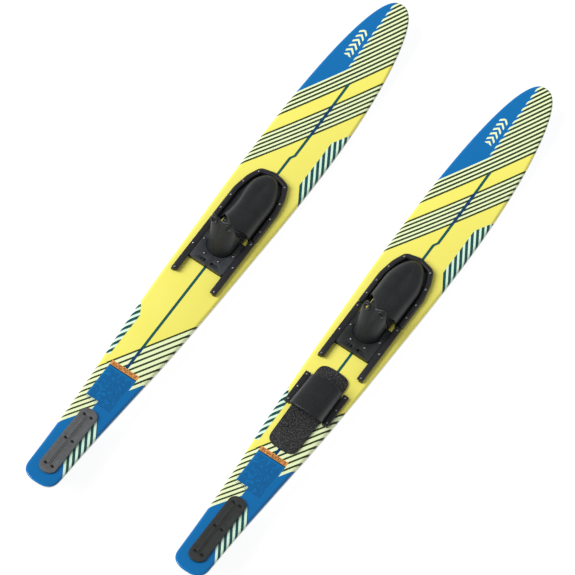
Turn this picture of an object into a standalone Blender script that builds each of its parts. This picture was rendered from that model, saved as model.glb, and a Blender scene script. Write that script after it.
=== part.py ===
"""A pair of recreational water skis with sliding rubber bindings.

Each ski is modelled in its own frame: x to the right, y from the tail towards the tip,
z up from the flat of the base. An empty per ski pitches it so that its fin and its belly
both touch the ground plane, and places it beside the other ski. Lengths are in metres.
"""
import math

import bmesh
import bpy
from mathutils import Vector

# ---- the pair as it lies on the ground ----
SKI_SPACING = 0.4184          # centre line to centre line
RIGHT_SKI_LEAD = 0.019       # the right ski lies this far ahead of the left one
SKI_PITCH = math.radians(2.6)
GAP = 0.0003                 # between pieces that touch

# ---- ski body ----
SKI_LENGTH = 1.700
SKI_THICKNESS = 0.021
END_THINNING = 0.011         # how much thinner both ends are than the middle
MAX_HALF_WIDTH = 0.092
WIDEST_Y = 1.190
TIP_ROUND = (2.2, 2.4)       # exponents of the superellipse from the widest point to the tip
TAIL_ROUND_LENGTH = 0.045
TAIL_ROUND = 2.6
WAIST = ((0.0, 0.0445), (0.17, 0.0497), (0.34, 0.0590), (0.51, 0.0708), (0.68, 0.0790),
         (0.85, 0.0846), (1.02, 0.0898), (1.19, 0.0920))
TAIL_BEND_REAR = 0.260       # the tail is straight behind this point
TAIL_BEND_FRONT = 0.400      # and the deck is flat ahead of this one
TAIL_RISE = 0.030
TIP_BEND_START = 1.110
TIP_RISE = 0.076
TIP_POWER = 2.1
TIP_THINNING_POWER = 1.3
EDGE_BEVEL = 0.009
TUNNEL_DEPTH = 0.0025

# ---- fin, and the plate that clamps it from above ----
FIN_PLATE_Y = (0.035, 0.264)
FIN_PLATE_HALF = 0.0230
FIN_PLATE_THICK = 0.0050
FIN_GROOVE_HALF = 0.0011
FIN_SCREW_Y = (0.0600, 0.1530, 0.2405)
FIN_SCREW_X = 0.0095
FIN_FLANGE_Y = (0.042, 0.250)
FIN_FLANGE_HALF = 0.0165
FIN_FLANGE_THICK = 0.0040
FIN_BLADE_HALF = 0.0020
FIN_BLADE_FOOT = (0.050, 0.242)
FIN_BLADE_SOLE = (0.068, 0.160)

FOOT_RISE = 0.004            # every rubber sheet leaves its seat upright for this height

# ---- toe frame and toe rubber ----
TOE_BAND_HALF = 0.0078
TOE_BAND_HEIGHT = 0.0135
TOE_LEG_REAR_Y = 0.9125
TOE_LEG_X = 0.058
TOE_CORNERS = ((TOE_LEG_X, 1.018), (0.0497, 1.0650), (0.0360, 1.0995), (0.0, 1.1095))
TOE_CORNER_CUT = 0.008       # how far from each corner the band starts to turn
TOE_RUBBER_GAP = 0.0016
TOE_RUBBER_THICK = 0.0035
TOE_CREST_REAR_Y = 0.881
TOE_CREST_FRONT_Y = 1.046
TOE_CREST_REAR = 0.054
TOE_CREST_FRONT = 0.034
TOE_ARCH_POWER = 0.75
TOE_DENT_Y = (0.905, 1.065)   # where the left ski's toe rubber is pushed in on its left side
TOE_DENT = 0.012
TOE_PAD_Y = (0.890, 1.068)
TOE_PAD_HALF = 0.0375
PAD_THICK = 0.0040

# ---- rails and the heel carriage between them ----
RAIL_X = (0.0490, 0.0648)
RAIL_Y = (0.7230, 0.9110)
RAIL_HEIGHT = 0.0120
RAIL_GROOVE = (0.0060, 0.0050)      # depth and height of the groove for the carriage's tongue
RACK_PITCH = 0.008
NOTCH_WIDTH = 0.0042
NOTCH_DEPTH = 0.0036
NOTCHES_BEHIND = 8                  # of the bolt at rest
NOTCHES_AHEAD = 6
RAIL_SCREW_Y = (0.7290, 0.8150)
RAIL_SCREW_X = 0.0580
CARRIAGE_Y = (0.7800, 0.8875)
BASE_HALF = 0.0540
BASE_THICK = 0.0047
COVER_HALF = 0.0482
COVER_Z = (0.0050, 0.0120)
BOLT_Y = 0.7910
BOLT_SLOT_HALF = 0.0080             # half the length, along the ski, of the bolts' channel
BOLT_SLOT_TOP = 0.0093
WELL_X = (0.0075, 0.0265)
WELL_HALF = 0.0042
BOLT_BAR_X = (0.0125, 0.0440)
BOLT_BAR_HALF = 0.0068
BOLT_NOSE_X = 0.0520
BOLT_NOSE_HALF = 0.0017
BOLT_Z = (0.0052, 0.0090)
BOLT_TAB_X = (0.0200, 0.0260)
BOLT_TAB_HALF = 0.0036
BOLT_TAB_TOP = 0.0113
SPRING_RADIUS = 0.0013
SPRING_WIRE = 0.0003
SPRING_TURNS = 6

# ---- heel rubber ----
HEEL_CENTRE_Y = 0.8505
HEEL_RADIUS = 0.0350
HEEL_FRONT_Y = 0.8855
HEEL_THICK = 0.0035
HEEL_POSE = {"left": (0.036, -0.018), "right": (0.045, -0.005)}  # lean forward, sway to the right
HEEL_REF = 0.100                    # height at which the lean and the flare are stated
HEEL_LEAN_POWER = 1.4
HEEL_FLARE = 0.25
HEEL_FLARE_POWER = 3.0
HEEL_RIM = ((0.0, 0.1010), (0.1, 0.1045), (0.2, 0.1075), (0.28, 0.1040), (0.36, 0.0920), (0.5, 0.0740),
            (0.75, 0.0470), (1.0, 0.0260))
FINGER_HOLE = (0.2, 0.0935)         # share of the way round, and height
FINGER_HOLE_RADIUS = 0.0063
HEEL_OPENING_GAP = 0.0010
HEEL_PAD_HALF = 0.0290

# ---- rear toe piece, on the right ski only ----
REAR_PAD_Y = (0.441, 0.713)
REAR_PAD_HALF = (0.0400, 0.0430)    # at the rear and at the front
REAR_PAD_THICK = 0.0050
REAR_STRAP_FOOT_Y = (0.5640, 0.6560)
REAR_STRAP_CREST_Y = (0.539, 0.657)
REAR_STRAP_HALF = 0.0465
REAR_STRAP_CREST = (0.056, 0.040)
REAR_STRAP_THICK = 0.0034
REAR_STRAP_FLARE = 0.003
REAR_STRAP_POWER = 0.74
REAR_CLAMP_X = (0.0472, 0.0630)
REAR_CLAMP_Y = (0.5625, 0.6660)
REAR_CLAMP_HEIGHT = 0.0090
REAR_SCREW_Y = (0.5710, 0.6142, 0.6575)
REAR_SCREW_X = 0.0556

# ---- screws ----
SCREW_SIDES = 10
SHANK_RADIUS = 0.0020
HOLE_RADIUS = 0.0024
HEAD_RADIUS = 0.0040
HEAD_HEIGHT = 0.0022
COUNTERBORE_RADIUS = 0.0046
COUNTERBORE_DEPTH = 0.0026
BLIND_DEPTH = 0.0120                # of the screws that end inside the ski


# ------------------------------------------------------------------ the ski's lines
def tail_share(y):
    """1 at the tail's end, 0 ahead of the bend: straight behind the bend, then an arc."""
    bend = TAIL_BEND_FRONT - TAIL_BEND_REAR
    arc = max(TAIL_BEND_FRONT - max(y, TAIL_BEND_REAR), 0.0)
    run = max(TAIL_BEND_REAR - y, 0.0)
    return (arc ** 2 + 2 * bend * run) / (bend ** 2 + 2 * bend * TAIL_BEND_REAR)


def tip_share(y):
    """0 behind the tip's bend, 1 at the tip."""
    return max(y - TIP_BEND_START, 0.0) / (SKI_LENGTH - TIP_BEND_START)


def deck_height(y):
    return SKI_THICKNESS + TAIL_RISE * tail_share(y) + TIP_RISE * tip_share(y) ** TIP_POWER


def thickness(y):
    return SKI_THICKNESS - END_THINNING * (tail_share(y) + tip_share(y) ** TIP_THINNING_POWER)


def base_height(y):
    return deck_height(y) - thickness(y)


def smooth_value(points, at):
    """A Catmull-Rom curve through (position, value) points."""
    last = len(points) - 1
    i = min(max(sum(1 for p in points if p[0] <= at) - 1, 0), last - 1)
    before, start, end, after = (points[min(max(i + k, 0), last)] for k in (-1, 0, 1, 2))
    span = end[0] - start[0]
    t = (at - start[0]) / span
    slope_in = (end[1] - before[1]) / (end[0] - before[0]) * span
    slope_out = (after[1] - start[1]) / (after[0] - start[0]) * span
    return ((2 * t ** 3 - 3 * t ** 2 + 1) * start[1] + (t ** 3 - 2 * t ** 2 + t) * slope_in
            + (3 * t ** 2 - 2 * t ** 3) * end[1] + (t ** 3 - t ** 2) * slope_out)


def ski_stations():
    """(y, half width) pairs from tail to tip, closer together round both ends."""
    stations = []
    for degrees in (12, 26, 42, 60, 76):
        angle = math.radians(degrees)
        y = TAIL_ROUND_LENGTH * (1 - math.cos(angle) ** (2 / TAIL_ROUND))
        stations.append((y, smooth_value(WAIST, y) * math.sin(angle) ** (2 / TAIL_ROUND)))
    for y in (0.045, 0.15, 0.26, 0.305, 0.35, 0.40, 0.53, 0.68, 0.85, 1.02, 1.11, WIDEST_Y):
        stations.append((y, smooth_value(WAIST, y)))
    for degrees in (18, 30, 40, 49, 57, 64, 70, 75, 80, 84, 87.5):
        angle = math.radians(degrees)
        y = WIDEST_Y + (SKI_LENGTH - WIDEST_Y) * math.sin(angle) ** (2 / TIP_ROUND[0])
        stations.append((y, MAX_HALF_WIDTH * math.cos(angle) ** (2 / TIP_ROUND[1])))
    stations.append((SKI_LENGTH, 0.004))
    return stations


def ski_section(y, half):
    """The ski's outline across, at one station: deck, bevelled edges, base with a tunnel."""
    deck, base, thick = deck_height(y), base_height(y), thickness(y)
    bevel = min(EDGE_BEVEL, 0.4 * half)
    tunnel = TUNNEL_DEPTH * (1 - min(tip_share(y) * 3, 1))
    right = [(half - bevel, deck), (half - 0.2 * bevel, deck - 0.28 * thick),
             (half, deck - 0.60 * thick), (half - 0.25 * bevel, base + 0.07 * thick),
             (half - 0.7 * bevel, base), (0.62 * half, base), (0.45 * half, base + tunnel)]
    return [(x, y, z) for x, z in right] + [(-x, y, z) for x, z in reversed(right)]


# ------------------------------------------------------------------ mesh helpers
def make_material(name, colour, roughness, metallic=0.0):
    material = bpy.data.materials.new(name)
    material.use_nodes = True
    shader = material.node_tree.nodes["Principled BSDF"]
    shader.inputs["Base Color"].default_value = (*colour, 1.0)
    shader.inputs["Roughness"].default_value = roughness
    shader.inputs["Metallic"].default_value = metallic
    return material


def finish_object(name, mesh_data, material, parent, origin=(0, 0, 0)):
    """Turn a bmesh into an object whose own origin is the given point of its parent."""
    bmesh.ops.recalc_face_normals(mesh_data, faces=mesh_data.faces)
    bmesh.ops.translate(mesh_data, verts=mesh_data.verts, vec=-Vector(origin))
    mesh = bpy.data.meshes.new(name)
    mesh_data.to_mesh(mesh)
    mesh_data.free()
    obj = bpy.data.objects.new(name, mesh)
    bpy.context.scene.collection.objects.link(obj)
    obj.parent = parent
    obj.location = origin
    if material is not None:
        mesh.materials.append(material)
    return obj


def rings_mesh(rings, closed_rings=True, cap=True):
    """Bridge successive rings of points; caps close the first and the last ring."""
    bm = bmesh.new()
    loops = [[bm.verts.new(point) for point in ring] for ring in rings]
    count = len(rings[0])
    for lower, upper in zip(loops, loops[1:]):
        for i in range(count if closed_rings else count - 1):
            j = (i + 1) % count
            bm.faces.new((lower[i], lower[j], upper[j], upper[i]))
    if cap:
        bm.faces.new(loops[0])
        bm.faces.new(loops[-1])
    return bm


def prism_mesh(outline, low, high, chamfer=0.0):
    """An outline in x and y, extruded from low to high, its top edge chamfered inwards."""
    rings = [[(x, y, low) for x, y in outline], [(x, y, high - chamfer) for x, y in outline]]
    if chamfer:
        rings.append([(x, y, high) for x, y in inset_outline(outline, chamfer)])
    return rings_mesh(rings)


def inset_outline(outline, distance):
    """Move each point of a counter-clockwise outline inwards, along the mean of its sides."""
    count = len(outline)
    moved = []
    for i, (x, y) in enumerate(outline):
        before, here, after = (Vector(outline[(i + k) % count]) for k in (-1, 0, 1))
        side_in = (here - before).normalized()
        side_out = (after - here).normalized()
        normal = Vector((-side_in.y - side_out.y, side_in.x + side_out.x)).normalized()
        lean = max(normal.dot(Vector((-side_in.y, side_in.x))), 0.3)
        moved.append((x + normal.x * distance / lean, y + normal.y * distance / lean))
    return moved


def box_outline(x_range, y_range):
    return [(x_range[0], y_range[0]), (x_range[1], y_range[0]),
            (x_range[1], y_range[1]), (x_range[0], y_range[1])]


def arc_points(centre, radius, start, end, steps):
    """Points on an arc, angles in degrees."""
    angles = (math.radians(start + (end - start) * i / steps) for i in range(steps + 1))
    return [(centre[0] + radius * math.cos(a), centre[1] + radius * math.sin(a)) for a in angles]


def round_box(bm, x_range, y_range, z_range):
    """Add a plain box to a bmesh."""
    low = Vector((x_range[0], y_range[0], z_range[0]))
    high = Vector((x_range[1], y_range[1], z_range[1]))
    made = bmesh.ops.create_cube(bm, size=1.0)["verts"]
    for vert in made:
        vert.co = Vector(((low[k] + high[k]) / 2 + vert.co[k] * (high[k] - low[k]) for k in range(3)))


def add_cylinder(bm, centre, radius, z_range, sides=SCREW_SIDES):
    """Add an upright closed cylinder to a bmesh."""
    depth = z_range[1] - z_range[0]
    made = bmesh.ops.create_cone(bm, cap_ends=True, segments=sides, radius1=radius,
                                 radius2=radius, depth=depth)["verts"]
    middle = Vector((centre[0], centre[1], (z_range[0] + z_range[1]) / 2))
    bmesh.ops.translate(bm, verts=made, vec=middle)


def hide_cutter(obj):
    obj.hide_render = True
    obj.display_type = "WIRE"


def apply_boolean(target, other, operation="DIFFERENCE"):
    modifier = target.modifiers.new(other.name, "BOOLEAN")
    modifier.operation = operation
    modifier.solver = "EXACT"
    modifier.object = other


def hole_cutter(name, parent, positions, radius, z_range):
    bm = bmesh.new()
    for position in positions:
        add_cylinder(bm, position, radius, z_range)
    cutter = finish_object(name, bm, None, parent)
    hide_cutter(cutter)
    return cutter


def thicken(obj, thickness_in):
    """Give an open sheet its wall, inwards from the modelled side."""
    modifier = obj.modifiers.new("wall", "SOLIDIFY")
    modifier.thickness = thickness_in
    modifier.offset = -1.0
    modifier.use_even_offset = True


def sweep_rings(path, profile, end_radius):
    """Carry a profile of (outward, up) points along a flat path, with rounded plan ends."""
    stations = [(Vector(path[0]), 1.0)] + [(Vector(p), 1.0) for p in path[1:-1]]
    stations.append((Vector(path[-1]), 1.0))
    first = (Vector(path[0]) - Vector(path[1])).normalized()
    last = (Vector(path[-1]) - Vector(path[-2])).normalized()
    for degrees in (30, 55, 75):
        reach = end_radius * math.sin(math.radians(degrees))
        share = math.cos(math.radians(degrees))
        stations.insert(0, (Vector(path[0]) + first * reach, share))
        stations.append((Vector(path[-1]) + last * reach, share))
    rings = []
    for i, (point, share) in enumerate(stations):
        before = stations[max(i - 1, 0)][0]
        after = stations[min(i + 1, len(stations) - 1)][0]
        side_in = (point - before).normalized() if i else (after - point).normalized()
        side_out = (after - point).normalized() if i < len(stations) - 1 else side_in
        tangent = (side_in + side_out).normalized()
        stretch = 1 / max(tangent.dot(side_in), 0.5)
        normal = Vector((tangent.y, -tangent.x)) * stretch
        rings.append([(point.x + normal.x * n * share, point.y + normal.y * n * share, z)
                      for n, z in profile])
    return rings


def rounded_path(points, cut, steps):
    """A polyline whose corners are replaced by short curves starting cut before each one."""
    path = [Vector(points[0])]
    for before, here, after in zip(points, points[1:], points[2:]):
        before, here, after = Vector(before), Vector(here), Vector(after)
        start = here + (before - here).normalized() * min(cut, (before - here).length / 2)
        end = here + (after - here).normalized() * min(cut, (after - here).length / 2)
        for i in range(steps + 1):
            t = i / steps
            path.append(start * (1 - t) ** 2 + here * 2 * t * (1 - t) + end * t ** 2)
    path.append(Vector(points[-1]))
    return path


# ------------------------------------------------------------------ pieces of every ski
def build_ski(side, frame, tail_frame, screw_holes):
    """The ski's body, with the holes of the screws that enter it."""
    bm = rings_mesh([ski_section(y, half) for y, half in ski_stations()])
    ski = finish_object(f"{side}_ski", bm, MATERIALS["deck"], frame)
    fin_holes = hole_cutter(f"{side}_ski_fin_holes", tail_frame, fin_screw_places(), HOLE_RADIUS,
                            (-0.040, 0.010))
    deck_holes = hole_cutter(f"{side}_ski_deck_holes", frame, screw_holes, HOLE_RADIUS,
                             (SKI_THICKNESS - BLIND_DEPTH - 0.001, SKI_THICKNESS + 0.005))
    apply_boolean(ski, fin_holes)
    apply_boolean(ski, deck_holes)
    return ski


def fin_screw_places():
    return [(sign * FIN_SCREW_X, y) for y in FIN_SCREW_Y for sign in (-1, 1)]


def build_fin_plate(side, tail_frame, material):
    """The plate on the tail's deck: round-ended, with a centre groove and six counterbores."""
    front = arc_points((0, FIN_PLATE_Y[1] - FIN_PLATE_HALF), FIN_PLATE_HALF, 0, 180, 10)
    rear = arc_points((0, FIN_PLATE_Y[0] + FIN_PLATE_HALF), FIN_PLATE_HALF, 180, 360, 10)
    bm = prism_mesh(front + rear, GAP, FIN_PLATE_THICK, 0.0012)
    plate = finish_object(f"{side}_fin_plate", bm, material, tail_frame)
    holes = hole_cutter(f"{side}_fin_plate_holes", tail_frame, fin_screw_places(), HOLE_RADIUS,
                        (-0.010, 0.010))
    sinks = hole_cutter(f"{side}_fin_plate_sinks", tail_frame, fin_screw_places(),
                        COUNTERBORE_RADIUS, (FIN_PLATE_THICK - COUNTERBORE_DEPTH, 0.010))
    groove_bm = bmesh.new()
    groove_ends = (FIN_PLATE_Y[0] + FIN_PLATE_HALF, FIN_PLATE_Y[1] - FIN_PLATE_HALF)
    round_box(groove_bm, (-FIN_GROOVE_HALF, FIN_GROOVE_HALF), groove_ends,
              (FIN_PLATE_THICK - 0.0009, 0.010))
    groove = finish_object(f"{side}_fin_plate_groove", groove_bm, None, tail_frame)
    hide_cutter(groove)
    for cutter in (holes, sinks, groove):
        apply_boolean(plate, cutter)


def build_fin(side, frame, tail_frame, ground_height):
    """The fin: a thin swept blade under the tail, moulded on a flange that fills the tunnel.

    ground_height gives, for a y of the ski, the height of the ground under it.
    """
    def roof(y):
        return base_height(y) + TUNNEL_DEPTH - GAP

    flange_rings = []
    for y in FIN_FLANGE_Y:
        top, low = roof(y), roof(y) - FIN_FLANGE_THICK
        half = FIN_FLANGE_HALF
        flange_rings.append([(-half, y, top), (half, y, top), (half * 0.8, y, low),
                             (-half * 0.8, y, low)])
    fin = finish_object(f"{side}_fin", rings_mesh(flange_rings), MATERIALS["fin"], frame)

    foot_rear, foot_front = FIN_BLADE_FOOT
    sole_rear, sole_front = FIN_BLADE_SOLE
    profile = [(foot_rear, roof(foot_rear) - 0.002), (sole_rear, ground_height(sole_rear)),
               (sole_front, ground_height(sole_front))]
    for i in range(1, 6):
        t = i / 6
        y = sole_front + (foot_front - sole_front) * t ** 0.75
        z = ground_height(sole_front) + (roof(foot_front) - 0.002 - ground_height(sole_front)) * t ** 1.5
        profile.append((y, z))
    profile.append((foot_front, roof(foot_front) - 0.002))
    blade_rings = [[(x, y, z) for y, z in profile] for x in (-FIN_BLADE_HALF, FIN_BLADE_HALF)]
    blade = finish_object(f"{side}_fin_blade", rings_mesh(blade_rings), None, frame)
    hide_cutter(blade)
    apply_boolean(fin, blade, "UNION")
    holes = hole_cutter(f"{side}_fin_holes", tail_frame, fin_screw_places(), HOLE_RADIUS,
                        (-0.050, 0.0))
    apply_boolean(fin, holes)


def build_screw(name, parent, position, seat, shank_length):
    """A pan-head screw, its head standing on the seat height of its parent."""
    profile = [(SHANK_RADIUS, seat - shank_length), (SHANK_RADIUS, seat + GAP),
               (HEAD_RADIUS, seat + GAP), (HEAD_RADIUS * 0.95, seat + HEAD_HEIGHT * 0.6),
               (HEAD_RADIUS * 0.6, seat + HEAD_HEIGHT)]
    rings = []
    for radius, z in profile:
        rings.append([(position[0] + radius * math.cos(2 * math.pi * i / SCREW_SIDES),
                       position[1] + radius * math.sin(2 * math.pi * i / SCREW_SIDES), z)
                      for i in range(SCREW_SIDES)])
    return finish_object(name, rings_mesh(rings), MATERIALS["steel"], parent,
                         (position[0], position[1], seat))


def build_toe_frame(side, frame):
    """The horseshoe that clamps the toe rubber's edge: a bevelled band with round leg ends."""
    deck = SKI_THICKNESS
    right = [(TOE_LEG_X, TOE_LEG_REAR_Y + TOE_BAND_HALF)] + list(TOE_CORNERS)
    points = right + [(-x, y) for x, y in reversed(right[:-1])]
    path = rounded_path(points, TOE_CORNER_CUT, 3)
    half, top = TOE_BAND_HALF, deck + TOE_BAND_HEIGHT
    profile = [(-half, deck + GAP), (half, deck + GAP), (half, top - 0.006),
               (half - 0.0035, top), (-half + 0.0035, top), (-half, top - 0.006)]
    return finish_object(f"{side}_toe_frame", rings_mesh(sweep_rings(path, profile, half)),
                         MATERIALS["moulding"], frame)


def toe_outline(setback):
    """The toe rubber's foot on the deck, from the left leg round the front to the right leg.

    setback gives how far the left and the right rear corners stop short of the frame's legs.
    """
    inset = TOE_BAND_HALF + TOE_RUBBER_GAP
    half = TOE_LEG_X - inset
    front_y = TOE_CORNERS[-1][1] - inset - 0.15 * TOE_CORNER_CUT
    shoulder_y = TOE_CORNERS[0][1] - TOE_CORNER_CUT
    points = []
    for sign, rear in ((-1, setback[0]), (1, setback[1])):
        start_y = TOE_LEG_REAR_Y + rear
        leg = [(sign * half, start_y + (shoulder_y - start_y) * i / 3) for i in range(3)]
        curve = []
        for i in range(8):
            angle = math.radians(90 * i / 8)
            curve.append((sign * half * math.cos(angle) ** 0.95,
                          shoulder_y + (front_y - shoulder_y) * math.sin(angle) ** 1.3))
        points.append(leg + curve)
    return points[0] + [(0.0, front_y)] + points[1][::-1]


def toe_dent(x, y, share):
    """How far the left wall is pushed in, for a share of the way from the foot to the crest."""
    along = (y - TOE_DENT_Y[0]) / (TOE_DENT_Y[1] - TOE_DENT_Y[0])
    if x > 0 or not 0 < along < 1:
        return 0.0
    return TOE_DENT * math.sin(math.pi * along ** 0.8) * math.sin(math.pi * math.sqrt(share))


def build_toe_rubber(side, frame, setback, dented):
    """The toe pocket: a domed rubber sheet, open at the rear and highest at its rear edge."""
    deck = SKI_THICKNESS + GAP
    steps = 7
    full_outline = toe_outline((0.0, 0.0))
    front_y = max(y for x, y in full_outline)
    bm = bmesh.new()
    columns = []
    for (x, y), (_, full_y) in zip(toe_outline(setback), full_outline):
        along = (full_y - TOE_LEG_REAR_Y) / (front_y - TOE_LEG_REAR_Y)
        crest_y = TOE_CREST_REAR_Y + (TOE_CREST_FRONT_Y - TOE_CREST_REAR_Y) * along
        crest = TOE_CREST_REAR + (TOE_CREST_FRONT - TOE_CREST_REAR) * along ** 1.6
        column = [bm.verts.new((x, y, deck))]
        for i in range(steps):
            angle = math.radians(90 * i / (steps - 1))
            reach = 1 - math.cos(angle) ** TOE_ARCH_POWER if i < steps - 1 else 1.0
            lift = FOOT_RISE + (crest - FOOT_RISE) * math.sin(angle) ** TOE_ARCH_POWER
            dent = toe_dent(x, y, i / (steps - 1)) if dented else 0.0
            column.append(bm.verts.new((x * (1 - reach) + dent, y + (crest_y - y) * reach,
                                        deck + lift)))
        columns.append(column)
    for left, right in zip(columns, columns[1:]):
        for i in range(steps):
            bm.faces.new((left[i], left[i + 1], right[i + 1], right[i]))
    bmesh.ops.remove_doubles(bm, verts=bm.verts, dist=1e-5)
    rubber = finish_sheet(f"{side}_toe_rubber", bm, frame, Vector((0, 0.99, deck)))
    thicken(rubber, TOE_RUBBER_THICK)
    return rubber


def finish_sheet(name, bm, parent, inside):
    """Finish an open rubber sheet, its faces turned away from a point inside it."""
    bmesh.ops.recalc_face_normals(bm, faces=bm.faces)
    bm.normal_update()
    outward = sum(face.normal.dot(face.calc_center_median() - inside) for face in bm.faces)
    if outward < 0:
        bmesh.ops.reverse_faces(bm, faces=bm.faces)
    mesh = bpy.data.meshes.new(name)
    bm.to_mesh(mesh)
    bm.free()
    obj = bpy.data.objects.new(name, mesh)
    bpy.context.scene.collection.objects.link(obj)
    obj.parent = parent
    mesh.materials.append(MATERIALS["rubber"])
    return obj


def build_toe_pad(side, frame):
    """The foam pad under the toes."""
    half = TOE_PAD_HALF
    rear, front = TOE_PAD_Y
    outline = [(-half, rear), (half, rear), (half, front - 0.035), (half * 0.72, front - 0.010),
               (half * 0.35, front), (-half * 0.35, front), (-half * 0.72, front - 0.010),
               (-half, front - 0.035)]
    bm = prism_mesh(outline, SKI_THICKNESS + GAP, SKI_THICKNESS + PAD_THICK, 0.0008)
    return finish_object(f"{side}_toe_pad", bm, MATERIALS["foam"], frame)


def build_rail(name, frame, sign):
    """A rail screwed to the deck: a groove for the carriage's tongue, a rack along its lip."""
    deck = SKI_THICKNESS
    inner, outer = RAIL_X
    groove_depth, groove_height = RAIL_GROOVE
    top = deck + RAIL_HEIGHT
    profile = [(inner + groove_depth, deck + GAP), (outer, deck + GAP), (outer, top - 0.002),
               (outer - 0.002, top), (inner, top), (inner, deck + groove_height),
               (inner + groove_depth, deck + groove_height)]
    rings = [[(sign * x, y, z) for x, z in profile] for y in RAIL_Y]
    rail = finish_object(name, rings_mesh(rings), MATERIALS["moulding"], frame)
    bm = bmesh.new()
    x_range = sorted((sign * (inner - 0.001), sign * (inner + NOTCH_DEPTH)))
    for step in range(-NOTCHES_BEHIND, NOTCHES_AHEAD + 1):
        middle = BOLT_Y + step * RACK_PITCH
        round_box(bm, x_range, (middle - NOTCH_WIDTH / 2, middle + NOTCH_WIDTH / 2),
                  (deck + groove_height - 0.001, top + 0.001))
    notches = finish_object(f"{name}_notches", bm, None, frame)
    hide_cutter(notches)
    holes = hole_cutter(f"{name}_holes", frame, [(sign * RAIL_SCREW_X, y) for y in RAIL_SCREW_Y],
                        HOLE_RADIUS, (deck - 0.001, top + 0.001))
    apply_boolean(rail, notches)
    apply_boolean(rail, holes)
    return rail


def build_carriage_base(side, slide):
    """The lower plate of the heel carriage, whose edges are the tongues in the rails."""
    deck = SKI_THICKNESS
    outline = box_outline((-BASE_HALF, BASE_HALF), CARRIAGE_Y)
    bm = prism_mesh(outline, deck + GAP, deck + BASE_THICK)
    return finish_object(f"{side}_slide_base", bm, MATERIALS["moulding"], slide)


def build_carriage_cover(side, slide):
    """The upper plate: round the heel rubber's foot, over the lock bolts, with two wells."""
    deck = SKI_THICKNESS
    rear, front = CARRIAGE_Y
    opening = HEEL_RADIUS + HEEL_OPENING_GAP
    bend = arc_points((0, HEEL_CENTRE_Y), opening, 360, 180, 12)
    outline = [(-COVER_HALF, rear), (COVER_HALF, rear), (COVER_HALF, front), (opening, front)]
    outline += bend + [(-opening, front), (-COVER_HALF, front)]
    low, high = (deck + z for z in COVER_Z)
    cover = finish_object(f"{side}_slide_cover", rings_mesh([[(x, y, z) for x, y in outline]
                                                             for z in (low, high)]),
                          MATERIALS["moulding"], slide)
    bm = bmesh.new()
    round_box(bm, (-COVER_HALF - 0.001, COVER_HALF + 0.001),
              (BOLT_Y - BOLT_SLOT_HALF, BOLT_Y + BOLT_SLOT_HALF), (low - 0.001, deck + BOLT_SLOT_TOP))
    channel = finish_object(f"{side}_slide_cover_channel", bm, None, slide)
    hide_cutter(channel)
    bm = bmesh.new()
    for sign in (-1, 1):
        x_range = sorted(sign * x for x in WELL_X)
        round_box(bm, x_range, (BOLT_Y - WELL_HALF, BOLT_Y + WELL_HALF),
                  (deck + BOLT_SLOT_TOP - 0.001, high + 0.001))
    wells = finish_object(f"{side}_slide_cover_wells", bm, None, slide)
    hide_cutter(wells)
    apply_boolean(cover, channel)
    apply_boolean(cover, wells)
    return cover


def build_lock_bolt(name, slide, sign):
    """A lock bolt: a bar with a nose in the rack and an upright finger tab in its well."""
    deck = SKI_THICKNESS
    low, high = (deck + z for z in BOLT_Z)
    bar_in, bar_out = BOLT_BAR_X
    half, nose = BOLT_BAR_HALF, BOLT_NOSE_HALF
    outline = [(bar_in, -half), (bar_out, -half), (bar_out + 0.002, -nose), (BOLT_NOSE_X, -nose),
               (BOLT_NOSE_X, nose), (bar_out + 0.002, nose), (bar_out, half), (bar_in, half)]
    outline = [(sign * x, BOLT_Y + y) for x, y in outline]
    rings = [[(x, y, z) for x, y in outline] for z in (low, high)]
    origin = (sign * (bar_in + bar_out) / 2, BOLT_Y, (low + high) / 2)
    bolt = finish_object(name, rings_mesh(rings), MATERIALS["lock"], slide, origin)
    bm = bmesh.new()
    round_box(bm, sorted(sign * x for x in BOLT_TAB_X),
              (BOLT_Y - BOLT_TAB_HALF, BOLT_Y + BOLT_TAB_HALF), (high - 0.001, deck + BOLT_TAB_TOP))
    tab = finish_object(f"{name}_tab", bm, None, slide)
    hide_cutter(tab)
    apply_boolean(bolt, tab, "UNION")
    return bolt


def build_lock_spring(side, slide):
    """The coil spring that pushes the two lock bolts apart."""
    reach = BOLT_BAR_X[0] - GAP
    height = SKI_THICKNESS + (BOLT_Z[0] + BOLT_Z[1]) / 2
    turn_steps, wire_sides = 7, 4
    steps = SPRING_TURNS * turn_steps
    length = 2 * (reach - SPRING_WIRE)
    rings = []
    for i in range(steps + 1):
        angle = 2 * math.pi * i / turn_steps
        x = -length / 2 + length * i / steps
        ring = []
        for k in range(wire_sides):
            around = 2 * math.pi * k / wire_sides
            radius = SPRING_RADIUS + SPRING_WIRE * math.cos(around)
            ring.append((x + SPRING_WIRE * math.sin(around), BOLT_Y + radius * math.cos(angle),
                         height + radius * math.sin(angle)))
        rings.append(ring)
    return finish_object(f"{side}_lock_spring", rings_mesh(rings), MATERIALS["steel"], slide)


def heel_point(side, way, height):
    """A point of the heel rubber's outer face.

    way runs from -1 at the left front end, through 0 at the rear, to 1 at the right front end.
    """
    leg = HEEL_FRONT_Y - HEEL_CENTRE_Y
    quarter = HEEL_RADIUS * math.pi / 2
    run = abs(way) * (leg + quarter)
    angle = min(run / HEEL_RADIUS, math.pi / 2)
    x = HEEL_RADIUS * math.sin(angle)
    y = HEEL_CENTRE_Y - HEEL_RADIUS * math.cos(angle) + max(run - quarter, 0.0)
    up = height / HEEL_REF
    waist = 1 - 0.07 * math.sin(math.pi * min(up, 1.0)) + HEEL_FLARE * up ** HEEL_FLARE_POWER
    forward, sideways = (reach * up ** HEEL_LEAN_POWER for reach in HEEL_POSE[side])
    return Vector((math.copysign(x, way) * waist + sideways, y + forward * (1 - 0.55 * abs(way)),
                   SKI_THICKNESS + COVER_Z[0] + height))


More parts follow.
